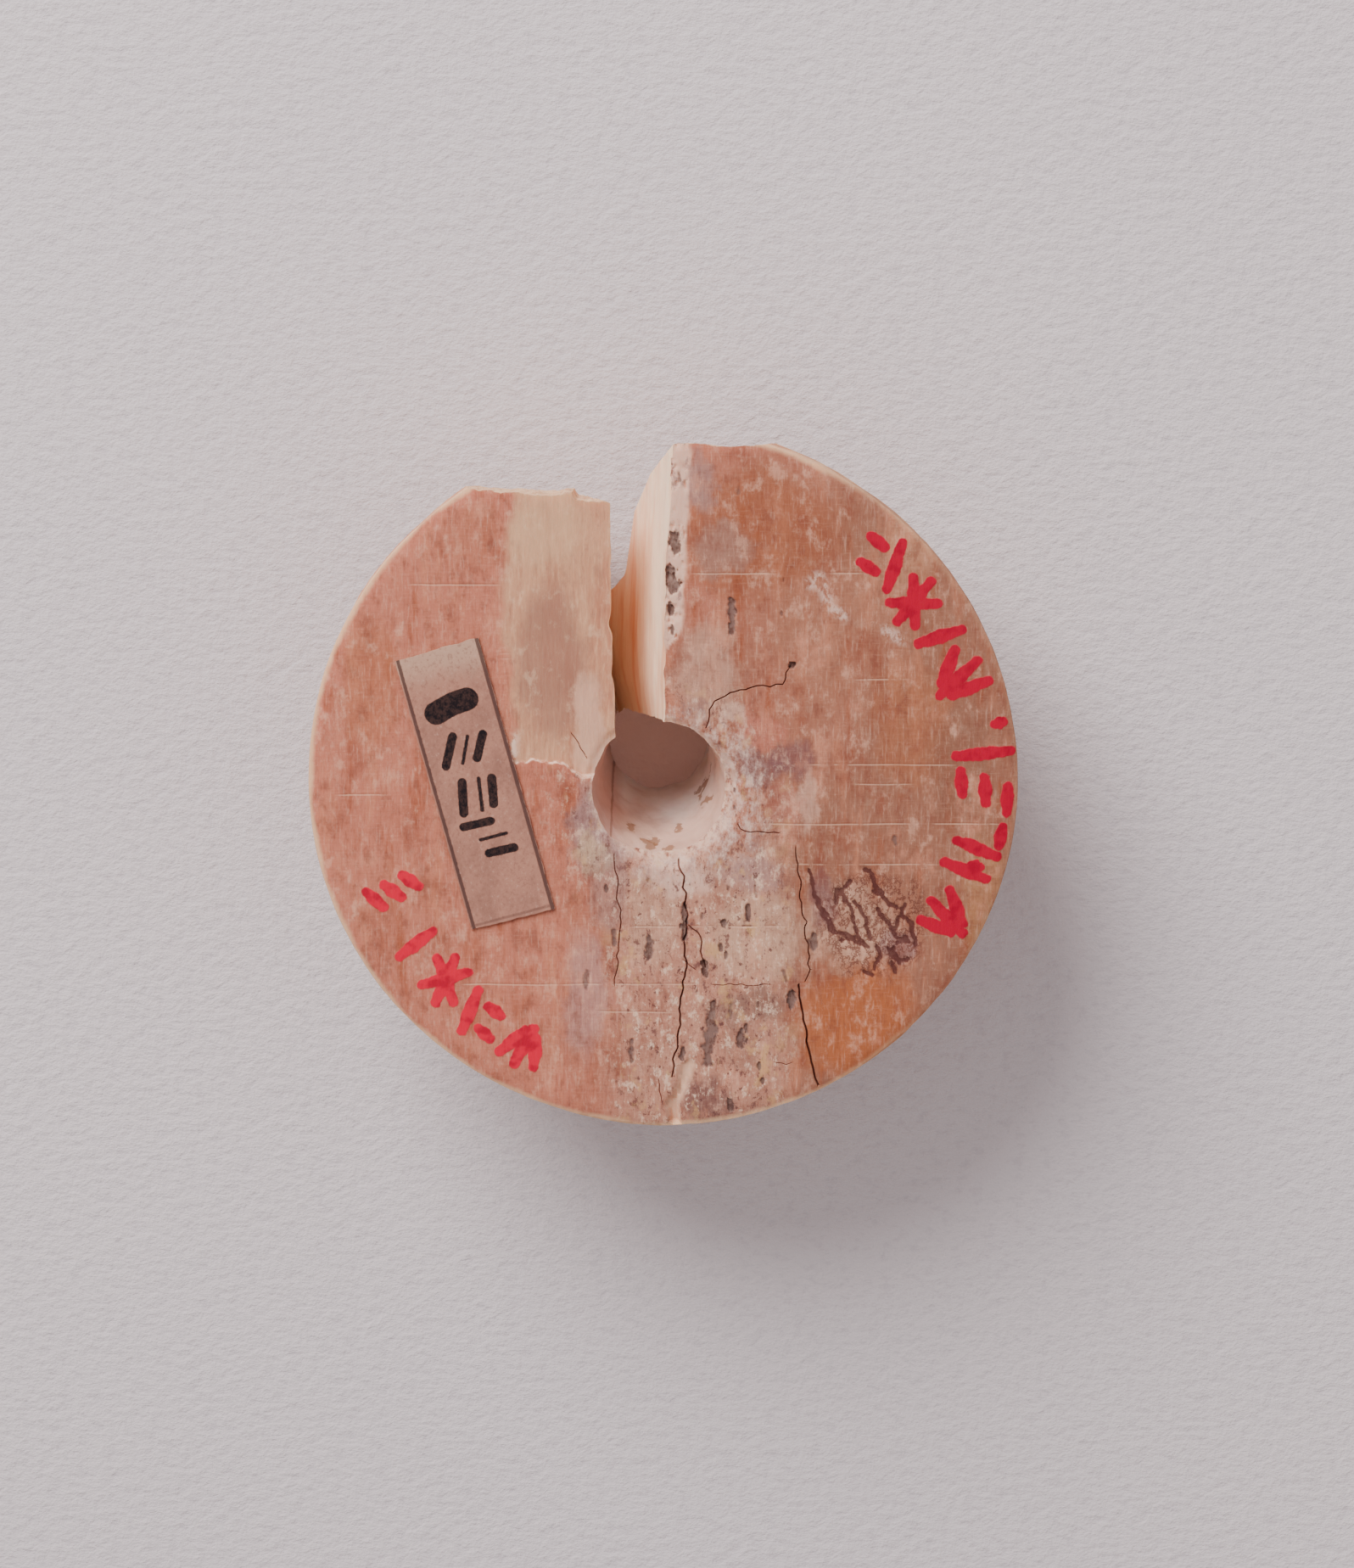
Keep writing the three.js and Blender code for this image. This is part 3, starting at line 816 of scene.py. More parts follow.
# %% Values and nodes
class Value:
    """A socket of a material's node tree that works in expressions."""

    def __init__(self, tree, socket):
        self.tree = tree
        self.socket = socket

    def maths(self, operation, *values):
        return add_node(self.tree, "ShaderNodeMath", {"operation": operation}, dict(enumerate(values)))

    def __add__(self, other):
        return self.maths("ADD", self, other)

    def __sub__(self, other):
        return self.maths("SUBTRACT", self, other)

    def __rsub__(self, other):
        return self.maths("SUBTRACT", other, self)

    def __mul__(self, other):
        return self.maths("MULTIPLY", self, other)

    def __truediv__(self, other):
        return self.maths("DIVIDE", self, other)

    __radd__ = __add__
    __rmul__ = __mul__

    def most(self, other):
        return self.maths("MAXIMUM", self, other)

    def size(self):
        """How far it is from 0."""
        return self.maths("ABSOLUTE", self)

    def step(self, low, high):
        """0 below low and 1 above high, or the other way round if low is the larger, with a smooth rise."""
        turned = low > high
        ends = {"From Min": min(low, high), "From Max": max(low, high), "To Min": 0.0, "To Max": 1.0}
        if turned:
            ends["To Min"], ends["To Max"] = 1.0, 0.0
        return add_node(self.tree, "ShaderNodeMapRange", {"interpolation_type": "SMOOTHSTEP"},
                        {"Value": self, **ends})


def add_node(tree, kind, settings=None, sockets=None, output=0):
    """One node: its settings first, then its sockets by value or by link. Returns one output."""
    node = tree.nodes.new(kind)
    for name, value in (settings or {}).items():
        setattr(node, name, value)
    for key, value in (sockets or {}).items():
        if isinstance(value, Value):
            tree.links.new(value.socket, node.inputs[key])
        else:
            node.inputs[key].default_value = value
    return Value(tree, node.outputs[output])


def linear_colour(swatch):
    """A colour from a swatch of red, green and blue up to 255, as the shader wants it."""
    parts = [c / 255 / 12.92 if c <= 10 else ((c / 255 + 0.055) / 1.055) ** 2.4 for c in swatch]
    return (*parts, 1.0)


def blend(below, above, amount):
    """One colour over another. Each colour is a Value or a swatch."""
    tree = next(v.tree for v in (below, above, amount) if isinstance(v, Value))
    below, above = (v if isinstance(v, Value) else linear_colour(v) for v in (below, above))
    settings = {"data_type": "RGBA", "blend_type": "MIX", "clamp_factor": True}
    return add_node(tree, "ShaderNodeMix", settings, {0: amount, 6: below, 7: above}, 2)


def coats(colour, *layers):
    """A colour with coats over it. Each coat is a colour and how much of it shows."""
    for tint, amount in layers:
        colour = blend(colour, tint, amount)
    return colour


class Finish:
    """A material whose patterns are measured in millimetres about the middle of the disc."""

    def __init__(self, name):
        self.material = bpy.data.materials.new(name)
        self.material.use_nodes = True
        self.tree = self.material.node_tree
        self.shader = self.tree.nodes["Principled BSDF"]
        metres = add_node(self.tree, "ShaderNodeTexCoord", output="Object")
        middle = (DISC_X * MM, DISC_Y * MM, 0.0)
        centred = self.vector("SUBTRACT", {0: metres, 1: middle})
        self.place = self.vector("SCALE", {0: centred, "Scale": 1 / MM})
        self.x, self.y, self.z = (self.part(axis) for axis in "XYZ")
        # places that stray, which give a spot or a line a ragged outline
        self.sway_x = self.x + (self.noise(0.55, 0.4, 5, 0.65, 61.0) - 0.5) * 3.0
        self.sway_y = self.y + (self.noise(0.55, 0.4, 5, 0.65, 62.0) - 0.5) * 4.0
        self.line_y = self.y + (self.noise(0.25, 0.25, 2, 0.5, 63.0) - 0.5) * 0.25

    def vector(self, operation, sockets):
        return add_node(self.tree, "ShaderNodeVectorMath", {"operation": operation}, sockets)

    def part(self, axis):
        return add_node(self.tree, "ShaderNodeSeparateXYZ", sockets={0: self.place}, output=axis)

    def noise(self, across, along, detail=4.0, rough=0.55, seed=0.0, upright=None):
        """Noise from 0 to 1 whose lumps are about 1/across mm wide and 1/along mm long."""
        scale = (across, along, across if upright is None else upright)
        stretched = self.vector("MULTIPLY", {0: self.place, 1: scale})
        sockets = {"Vector": stretched, "W": seed, "Scale": 1.0, "Detail": detail, "Roughness": rough}
        return add_node(self.tree, "ShaderNodeTexNoise", {"noise_dimensions": "4D"}, sockets)

    def amount(self, name):
        return add_node(self.tree, "ShaderNodeAttribute", {"attribute_name": name}, output="Fac")

    def spot(self, x, y, reach_x, reach_y, soft=0.25):
        """1 at a place on the face, falling to 0 at its reach, with a ragged outline."""
        dx = (self.sway_x - x) / reach_x
        dy = (self.sway_y - y) / reach_y
        return (dx * dx + dy * dy).step(1.0, soft)

    def line(self, start, end, y, half_width):
        """A thin line across the face at height y, from one x to another, that fades out at both ends."""
        off = self.line_y - y
        across = off.size().step(half_width * 1.5, half_width * 0.5)
        return across * (self.x - start).step(0.0, 0.8) * (end - self.x).step(0.0, 1.2)

    def bump(self, height, distance, strength):
        sockets = {"Height": height, "Distance": distance * MM, "Strength": strength}
        return add_node(self.tree, "ShaderNodeBump", sockets=sockets)

    def connect(self, **values):
        for name, value in values.items():
            socket = self.shader.inputs[name.replace("_", " ")]
            if isinstance(value, Value):
                self.tree.links.new(value.socket, socket)
            else:
                socket.default_value = value
        return self.material


print("helpers ready")

# %% [markdown]
# ## Old bone
#
# The bone is pinkish tan, pinker on the left and more orange on the right, with fine fibres that run up and
# down the face. A grey and cream seam of coarser bone crosses the middle. Freshly broken bone is paler, and
# the slot walls are painted paler still, as painted light in the narrow slot. The drilled wall has a few brown
# stains and is painted paler with depth, as painted light down the hole. Dirt sits in the cracks and pits.
# Chalky dust lies round the hole.
#
# The finish is built as a maker would stain a blank: first the even colour, then each stain, then the grain
# over all of them, and last the dirt and the paint. `Patterns` holds the noises that several steps share.

# %% Shared patterns and the even colour of the face
class Patterns:
    """Noises of the bone. Each is named for what it looks like, from the widest to the finest."""

    def __init__(self, bone):
        self.streak = bone.noise(0.8, 0.12, 5, 0.65, 2.0)
        self.blotch = bone.noise(0.45, 0.30, 6, 0.66, 4.0)
        self.mottle = bone.noise(1.3, 0.9, 5, 0.68, 4.5)
        self.weave = bone.noise(1.0, 8.0, 3, 0.6, 6.0)
        self.fleck = bone.noise(1.7, 1.1, 6, 0.78, 8.0)
        self.speck = bone.noise(3.2, 2.2, 4, 0.65, 8.5)
        self.fibre = bone.noise(6.0, 0.8, 3, 0.62, 3.0)


def face_colour(bone, pattern):
    """The even colour of the face: pinker on the left, more orange on the right, in long streaks."""
    broad = bone.noise(0.13, 0.07, 3, 0.5, 1.0)
    side = ((bone.x + 20) / 40 + (broad - 0.5) * 0.9).step(0.3, 0.8)
    return coats(
        blend((190, 115, 93), (150, 99, 79), side),
        ((206, 132, 100), pattern.streak.step(0.50, 0.68) * 0.5),
        ((146, 68, 36), pattern.streak.step(0.48, 0.32) * 0.65),
    )


def grain(pattern, colour):
    """The fine pattern over every colour of the face: blotches, fibres along it, a faint weave across it."""
    for lumps, light, dark, amount in (
        (pattern.blotch, (214, 144, 116), (136, 71, 54), 0.60),
        (pattern.mottle, (228, 172, 146), (122, 66, 54), 0.48),
        (pattern.fibre, (236, 184, 160), (106, 54, 42), 0.25),
        (pattern.weave, (232, 178, 148), (116, 60, 42), 0.12),
    ):
        high, low = lumps.step(0.53, 0.70), lumps.step(0.48, 0.32)
        colour = coats(colour, (light, high * amount), (dark, low * amount))
    return colour


# %% Stains: x, y, reach across, reach along, tint, strength
STAINS = [
    (5.5, 14.8, 6.0, 4.6, (152, 84, 54), 0.6), (3.4, 14.0, 2.0, 1.8, (156, 118, 106), 0.6),
    (2.2, 17.6, 1.3, 2.4, (160, 124, 118), 0.7), (10.5, 9.0, 4.5, 5.0, (184, 122, 96), 0.35),
    (-17.2, 6.0, 2.0, 5.0, (180, 108, 76), 0.5), (-10.8, 14.6, 2.6, 2.4, (180, 108, 84), 0.55),
    (2.6, 6.4, 2.6, 3.4, (190, 150, 130), 0.55), (5.8, 3.2, 1.8, 1.5, (188, 112, 94), 0.6),
    (4.2, 3.9, 0.9, 1.1, (214, 174, 152), 0.6), (5.6, 0.8, 2.0, 1.5, (126, 94, 92), 0.75),
    (7.6, 1.4, 1.7, 1.5, (122, 80, 80), 0.75), (7.0, -1.6, 1.2, 1.7, (180, 114, 98), 0.5),
    (8.3, -1.2, 0.8, 2.2, (214, 168, 146), 0.5), (-4.0, -2.6, 2.0, 3.4, (152, 120, 116), 0.8),
    (-4.0, -4.4, 1.1, 1.4, (206, 172, 136), 0.6), (0.7, -5.8, 2.8, 1.5, (220, 176, 156), 0.85),
    (5.4, -5.6, 2.4, 1.4, (166, 132, 126), 0.6), (5.4, -9.4, 3.2, 3.0, (204, 162, 136), 0.65),
    (5.0, -13.5, 3.2, 1.4, (136, 100, 88), 0.8), (-0.6, -8.4, 1.8, 3.4, (196, 152, 128), 0.6),
    (-4.6, -12.8, 1.6, 4.6, (176, 136, 130), 0.55), (2.6, -19.4, 2.2, 1.5, (120, 82, 76), 0.85),
    (11.6, -14.6, 4.4, 4.6, (170, 92, 52), 0.8), (11.0, -8.6, 3.4, 3.0, (202, 158, 134), 0.6),
    (9.4, -7.4, 0.9, 2.4, (124, 86, 84), 0.8), (13.8, -9.6, 1.3, 1.4, (140, 108, 108), 0.6),
    (4.6, -16.0, 1.5, 2.2, (150, 104, 88), 0.6), (14.6, 3.6, 2.8, 4.6, (164, 98, 66), 0.55),
    (-3.2, -6.4, 1.7, 2.8, (152, 120, 112), 0.55), (17.6, 1.0, 2.4, 5.0, (136, 92, 74), 0.6),
    (14.4, 14.0, 1.6, 2.8, (196, 140, 108), 0.6), (18.8, -6.8, 1.5, 4.5, (176, 124, 86), 0.6),
]
SEAM_X = 2.2
SEAM_HALF_WIDTH = 6.4


def stained_colour(bone, pattern, colour):
    """The stains, each in its place, then the grain, and the coarse flecks of the seam and round the hole."""
    top = bone.z.step(HEIGHT - 2.6, HEIGHT - 1.4)
    seam = (bone.sway_x - SEAM_X) / SEAM_HALF_WIDTH
    seam = (seam * seam).step(1.0, 0.3) * bone.sway_y.step(-2.0, -5.0)
    colour = blend(colour, (186, 138, 118), seam * 0.6)
    for x, y, reach_x, reach_y, tint, strength in STAINS:
        colour = blend(colour, tint, bone.spot(x, y, reach_x, reach_y) * top * strength)
    colour = grain(pattern, colour)
    around = bone.spot(0.5, -1.5, 8.5, 9.5, 0.1).most(seam) * top
    dots = bone.noise(2.6, 2.2, 4, 0.7, 8.2).step(0.59, 0.65)
    ochre = bone.noise(0.9, 0.7, 4, 0.6, 9.0).step(0.56, 0.66)
    crust = bone.spot(0.9, -0.9, 6.4, 6.2) * pattern.fleck.step(0.44, 0.56) * top
    shade = bone.spot(0.4, -0.4, 7.2, 7.0) * pattern.mottle.step(0.47, 0.38) * top
    return coats(
        colour,
        ((232, 194, 168), pattern.fleck.step(0.53, 0.62) * (0.08 + 0.66 * around)),
        ((110, 70, 66), pattern.fleck.step(0.45, 0.38) * (0.08 + 0.76 * around)),
        ((92, 54, 54), dots * around * 0.8),
        ((206, 158, 108), ochre * around * 0.6),
        ((212, 182, 170), crust * 0.55),
        ((150, 116, 112), shade * 0.5),
    )


SCRATCH_HALF_WIDTH = 0.035
SCRATCH_SHADOW = 0.09  # the dark side of each scratch lies this far beside its pale side


def scratched_colour(bone, colour):
    """Light scratches across the grain, broken by gaps."""
    top = bone.z.step(HEIGHT - 2.6, HEIGHT - 1.4)
    gaps = bone.noise(0.9, 0.3, 3, 0.6, 10.0).step(0.34, 0.50) * top
    for start, end, y in SCRATCHES:
        pale = bone.line(start, end, y, SCRATCH_HALF_WIDTH)
        dark = bone.line(start, end, y + SCRATCH_SHADOW, SCRATCH_HALF_WIDTH)
        colour = coats(colour, ((236, 190, 162), pale * gaps * 0.42), ((120, 70, 54), dark * gaps * 0.34))
    return colour


# %% The back
def back_colour(bone, colour):
    """The turned back: tan and cream bone with long stains, faint turning lines and small open pores."""
    cloud = bone.noise(0.22, 0.10, 5, 0.6, 71.0, 0.22)
    strand = bone.noise(2.2, 0.30, 4, 0.6, 72.0, 2.2)
    lines = bone.noise(0.05, 0.05, 3, 0.6, 73.0, 5.0)
    pores = bone.noise(2.4, 1.2, 3, 0.6, 74.0, 2.4)
    back = coats(
        blend((212, 160, 122), (176, 118, 82), cloud.step(0.42, 0.60)),
        ((150, 96, 70), cloud.step(0.44, 0.34) * strand.step(0.42, 0.58) * 0.7),
        ((232, 190, 152), strand.step(0.52, 0.68) * 0.5),
        ((138, 88, 62), strand.step(0.46, 0.32) * 0.4),
        ((140, 90, 66), lines.step(0.46, 0.34) * 0.3),
        ((92, 58, 46), pores.step(0.66, 0.71) * 0.7),
    )
    return blend(colour, back, (bone.z + (cloud - 0.5) * 4.0).step(HEIGHT - 0.9, HEIGHT - 2.6))


# %% The flake scar, the worn lip and the spongy lip
def scar_colour(bone, pattern, colour):
    """The pale bed of the flake scar, greyer in its middle, with a pale line of chips at its foot that is also
    a painted highlight on the step, which faces the light.
    """
    scar = bone.amount("scar")
    pale = coats(
        blend((210, 156, 122), (190, 128, 100), pattern.streak.step(0.55, 0.35)),
        ((234, 184, 146), pattern.fibre.step(0.5, 0.7) * 0.5),
        ((150, 100, 80), pattern.fibre.step(0.46, 0.28) * 0.4),
        ((156, 108, 92), bone.spot(-6.6, 7.4, 2.6, 5.4) * 0.7),
        ((168, 118, 98), pattern.mottle.step(0.49, 0.34) * 0.45),
        ((238, 200, 166), pattern.mottle.step(0.54, 0.68) * 0.35),
        ((226, 184, 144), bone.spot(-7.0, 15.5, 3.4, 3.4, 0.0) * 0.5),
        ((232, 184, 158), bone.spot(-4.4, 3.0, 1.2, 4.0) * 0.6),
    )
    # partly painted highlight: the pale chips along the scar's foot also paint light on the step, which faces
    # the light
    chips = scar * (1 - scar) * pattern.speck.step(0.40, 0.55) * bone.y.step(3.4, 2.4)
    return coats(colour, (pale, scar * 0.92), ((248, 208, 184), chips * 3.4))


def lip_colour(bone, pattern, colour):
    """The chalky lip of the hole, the spongy lip of the slot, the chipped channel and the chalk marks."""
    worn, spongy = bone.amount("worn"), bone.amount("spongy")
    return coats(
        colour,
        ((226, 186, 162), worn * pattern.speck.step(0.40, 0.56)),
        ((124, 84, 70), worn * pattern.speck.step(0.38, 0.28) * 0.8),
        ((232, 188, 164), spongy * 0.85),
        ((160, 120, 112), spongy * pattern.mottle.step(0.46, 0.36) * 0.8),
        ((226, 180, 150), bone.amount("channel") * 0.9),
        ((232, 196, 178), bone.amount("chalk") * pattern.speck.step(0.42, 0.60) * 0.6),
    )


# %% Dirt and root marks
def dirty_colour(bone, pattern, colour):
    """Brown root marks with a fine web between them, and dirt in the pits and cracks."""
    grime = blend((116, 92, 86), (84, 58, 54), pattern.speck.step(0.45, 0.58))
    patch = bone.spot(STAIN_PATCH[0] + 0.6, STAIN_PATCH[1] - 0.2, 3.9, 3.6, 0.5)
    web = (bone.noise(1.5, 1.2, 5, 0.7, 18.0) - 0.5).size().step(0.040, 0.010) * patch
    root = (bone.amount("root") + (pattern.speck - 0.5) * 1.3).step(0.35, 0.75)
    return coats(
        colour,
        ((100, 56, 48), web * 0.8),
        ((84, 42, 40), root * 0.85),
        (grime, bone.amount("pit").step(0.0, 0.7) * 0.85),
        ((100, 54, 46), bone.amount("crack").step(0.3, 1.0) * 0.85),
    )


# %% The rim and the broken walls
def broken_colour(bone, colour):
    """The pale worn rim, with a painted highlight that is strongest on the left, the fresh slot walls, painted
    near white as painted light in the narrow slot, and the tanner, rougher ends of both halves.
    """
    squares = bone.x * bone.x + bone.y * bone.y
    radius = squares.maths("SQRT", squares)
    patchy = bone.noise(0.35, 0.35, 4, 0.6, 11.0) - 0.5
    rim = (radius + patchy * 0.8).step(RIM_RADIUS - 0.50, RIM_RADIUS - 0.15)
    rim = rim * (bone.z + patchy * 3.0).step(HEIGHT - 1.6, HEIGHT - 0.5)
    splinters = bone.noise(0.9, 0.10, 4, 0.6, 12.0, 0.9).step(0.42, 0.70)
    fine_splinters = bone.noise(4.0, 0.3, 3, 0.6, 13.0, 4.0).step(0.55, 0.8)
    # partly painted light: fresh broken bone is paler, and the slot walls are painted near white for the light
    # that reaches into the narrow slot
    wall = coats(blend((254, 220, 188), (238, 178, 142), splinters), ((204, 142, 114), fine_splinters * 0.45))
    rough = bone.noise(1.1, 0.5, 5, 0.65, 13.5, 0.5).step(0.44, 0.62)
    holes = bone.noise(3.0, 3.0, 4, 0.65, 13.8, 0.7).step(0.52, 0.66)
    end = coats(blend((226, 182, 144), (196, 144, 110), rough), ((166, 112, 84), holes * 0.6))
    return coats(
        colour,
        # partly painted highlight: the pale worn rim is painted strongest on the left, where the light falls,
        # and fades out to the right
        ((232, 188, 148), rim * (0.72 - 0.6 * bone.x.step(6.0, 18.0))),
        (wall, bone.amount("broken_wall")),
        (end, bone.amount("broken_end") * 0.9),
    )


# %% The drilled wall: brown stains with their x, height, reach across and reach down
HOLE_STAINS = [
    (-1.9, 10.4, 0.28, 0.8), (-1.0, 12.4, 0.46, 0.9), (-0.6, 11.6, 0.28, 0.8), (1.0, 9.9, 0.34, 0.8),
    (0.5, 13.0, 0.32, 0.6), (2.3, 6.0, 0.30, 1.6), (2.5, 9.0, 0.20, 0.8),
]
SPLIT_X = -3.1  # a fine split runs down the left of the drilled wall


def drilled_colour(bone, colour):
    depth = HEIGHT - bone.z
    # painted light: the drilled wall is painted paler with depth, near white at the bottom, for light bounced
    # down the hole
    deep_painted_light = depth.step(3.0, 11.0)
    clouds = bone.noise(0.5, 0.5, 4, 0.6, 14.0).step(0.45, 0.7)
    drilled = coats(
        blend((212, 170, 150), (220, 178, 158), depth.step(1.0, 6.0)),
        ((255, 240, 232), deep_painted_light),
        ((190, 146, 128), clouds * (0.6 - 0.4 * deep_painted_light)),
        # painted shade: the left of the drilled wall, which faces away from the light, is painted darker and
        # pinker
        ((200, 152, 140), (-2.2 - bone.x).step(0.0, 0.9) * 0.7),
    )
    tattered = (bone.noise(2.0, 2.0, 3, 0.6, 15.0, 0.7) - 0.5) * 2.4
    near_side = bone.y.step(0.0, -1.2)
    for x, z, reach_x, reach_z in HOLE_STAINS:
        dx = (bone.sway_x - x) / reach_x
        dz = (bone.z - z) / reach_z
        stain = (dx * dx + dz * dz + tattered).step(1.1, 0.6) * near_side
        drilled = blend(drilled, (134, 88, 58), stain * 0.7)
    stray = (bone.noise(0.5, 0.5, 3, 0.6, 16.0) - 0.5) * 0.25
    split = (bone.x - SPLIT_X + stray).size().step(0.09, 0.03) * bone.y.step(0.5, -0.5)
    drilled = blend(drilled, (120, 76, 62), split * 0.5)
    return blend(colour, drilled, bone.amount("hole_wall"))


# %% The paint, and the whole finish
def painted_colour(bone, pattern, colour):
    """Two rows of red strokes. The right row is the darker one. Returns the colour and where paint lies."""
    ragged = (bone.noise(2.6, 1.6, 4, 0.6, 20.0) - 0.5) * 0.30
    right, left = ((bone.amount(name) + ragged).step(0.04, -0.05) for name in ("right_paint", "left_paint"))
    paint = right.most(left)
    thin = (pattern.fibre * 0.6 + pattern.speck * 0.5).step(0.36, 0.52)
    pools = bone.noise(1.3, 1.3, 2, 0.5, 21.0).step(0.46, 0.66)
    red = coats(blend((216, 20, 56), (184, 0, 46), right), ((150, 0, 36), pools * 0.6))
    return blend(colour, red, paint * (0.92 + 0.08 * thin)), paint


def bone_finish():
    bone = Finish("old_bone")
    pattern = Patterns(bone)
    colour = face_colour(bone, pattern)
    colour = stained_colour(bone, pattern, colour)
    colour = scratched_colour(bone, colour)
    colour = back_colour(bone, colour)
    colour = scar_colour(bone, pattern, colour)
    colour = lip_colour(bone, pattern, colour)
    colour = dirty_colour(bone, pattern, colour)
    colour = broken_colour(bone, colour)
    colour = drilled_colour(bone, colour)
    colour, paint = painted_colour(bone, pattern, colour)
    rough = 0.80 + 0.12 * (1 - pattern.fibre) + 0.05 * bone.amount("worn") - 0.08 * paint
    height = pattern.fibre * 0.5 + pattern.streak * 0.35 + pattern.speck * 0.35 + 0.3 * paint
    bone.connect(Specular_IOR_Level=0.14, Subsurface_Weight=0.22, Subsurface_Scale=2.0 * MM)
    bone.connect(Subsurface_Radius=(1.0, 0.45, 0.28))
    return bone.connect(Base_Color=colour, Roughness=rough, Normal=bone.bump(height, 0.12, 0.5))


whorl.data.materials.append(bone_finish())
print("bone nodes:", len(whorl.active_material.node_tree.nodes))
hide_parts("bone_whorl")
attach(whorl, "root")

# %% [markdown]
# ## The paper tag
#
# The tag is a strip cut from a printed sheet: old paper with a dark printed line along each long edge. It is
# pasted a little askew. It is modelled as a thin sheet whose edges and corners lift slightly from the bone.
# Its printed characters are replaced by blunt marks of no meaning, in the same ink and at the same height.

# %% The tag's marks, in its own frame: x across the strip, y along it
TAG_WIDTH = 5.1
TAG_LENGTH = 16.8
TAG_LEAN = math.radians(15.1)
TAG_THICKNESS = 0.10
TAG_GAP = 0.02  # under the paper, taken up by the paste
EDGE_STEP = 0.12
FINE_STEP = 0.07
FINE_PER_COARSE = 3
INK = [
    ([(-1.05, 4.70), (0.0, 4.98), (0.9, 5.05)], 0.70),
    ([(-1.35, 1.5), (-0.5, 3.1)], 0.27), ([(-0.35, 1.4), (0.35, 2.9)], 0.11),
    ([(0.55, 1.5), (1.25, 2.8)], 0.27), ([(-1.1, -1.5), (-0.7, 0.3)], 0.28),
    ([(0.0, -1.6), (0.3, 0.3)], 0.12), ([(0.75, -1.4), (1.05, 0.1)], 0.28),
    ([(-1.35, -2.3), (0.3, -2.35)], 0.26), ([(-0.6, -3.3), (1.0, -3.3)], 0.11),
    ([(-0.3, -4.2), (1.2, -4.25)], 0.27),
]


def ink_field(points):
    """Distance to the nearest ink stroke's edge in mm, negative inside the ink."""
    field = np.full(len(points), FAR)
    for path, half in INK:
        gap, _ = path_distance(points, path)
        field = np.minimum(field, gap - half)
    return field


# %% The tag's mesh
def tag_outline():
    """The strip's edge: cut by hand, so it wavers a little, and its top end is cut unevenly."""
    half_x, half_y = TAG_WIDTH / 2, TAG_LENGTH / 2
    corners = [(-half_x, -half_y), (half_x, -half_y - 0.06), (half_x, half_y), (-half_x, half_y - 0.12)]
    outline = []
    for (ax, ay), (bx, by) in zip(corners, corners[1:] + corners[:1]):
        count = int(math.hypot(bx - ax, by - ay) / EDGE_STEP)
        for i in range(count):
            t = i / count
            x, y = ax + (bx - ax) * t, ay + (by - ay) * t
            stray = 0.05 * noise.fractal(Vector((x * 0.9, y * 0.9, 3.0)), 0.7, 2.0, 3)
            outline.append((x + stray * (abs(bx - ax) < 1), y + 1.6 * stray * (abs(bx - ax) > 1)))
    return np.array(outline)


def tag_lift(points):
    """How high the paper's underside stands off its lowest level."""
    x, y = points[:, 0], points[:, 1]
    edge = np.minimum(TAG_WIDTH / 2 - np.abs(x), TAG_LENGTH / 2 - np.abs(y))
    curl = 0.03 * (1 - smooth_step(0.0, 0.9, edge))
    wrinkle = 0.008 * noise_at(points, 0.8, 0.4, 51.0, 3)
    return np.clip(curl + wrinkle, 0, 0.045)


def tag_points():
    """Points inside the strip: fine ones at the edges of the ink, coarse ones elsewhere."""
    reach_x, reach_y = TAG_WIDTH / 2 - 0.1, TAG_LENGTH / 2 - 0.1
    across = np.arange(-reach_x, reach_x + 0.01, FINE_STEP)
    along = np.arange(-reach_y, reach_y + 0.01, FINE_STEP)
    points = np.stack(np.meshgrid(across, along), -1).reshape(-1, 2)
    fine = np.abs(ink_field(points)) < 0.12
    coarse = (np.round((points + 10) / FINE_STEP).astype(int) % FINE_PER_COARSE == 0).all(axis=1)
    return points[fine | coarse]


def build_tag():
    outline = tag_outline()
    count = len(outline)
    points = np.concatenate([outline, tag_points()])
    edges = [(i, (i + 1) % count) for i in range(count)]
    flat = [Vector(point) for point in points.tolist()]
    made = delaunay_2d_cdt(flat, edges, [], 1, 1e-6)
    sheet_xy = np.array([tuple(v) for v in made[0]])
    order = {ids[0]: i for i, ids in enumerate(made[3]) if ids and ids[0] < count}
    turn = np.array([[math.cos(TAG_LEAN), -math.sin(TAG_LEAN)], [math.sin(TAG_LEAN), math.cos(TAG_LEAN)]])
    placed = sheet_xy @ turn.T + (TAG_X, TAG_Y)
    under = HEIGHT + TAG_GAP + tag_lift(sheet_xy)
    top = np.column_stack([placed, under + TAG_THICKNESS])
    bottom = np.column_stack([placed, under])
    faces = [tuple(t) for t in made[2]]
    shift = len(sheet_xy)
    faces += [tuple(i + shift for i in reversed(t)) for t in made[2]]
    for i in range(count):
        a, b = order[i], order[(i + 1) % count]
        faces.append((a, a + shift, b + shift, b))
    tag = face_outwards(new_object("pasted_paper_tag", np.concatenate([top, bottom]), faces))
    both = np.concatenate([sheet_xy, sheet_xy])
    store(tag.data, "ink", ink_field(both))
    store(tag.data, "across", both[:, 0])
    store(tag.data, "along", both[:, 1])
    tag.data.shade_smooth()
    tag.data.set_sharp_from_angle(angle=SHARP_ANGLE)
    return tag


tag = build_tag()

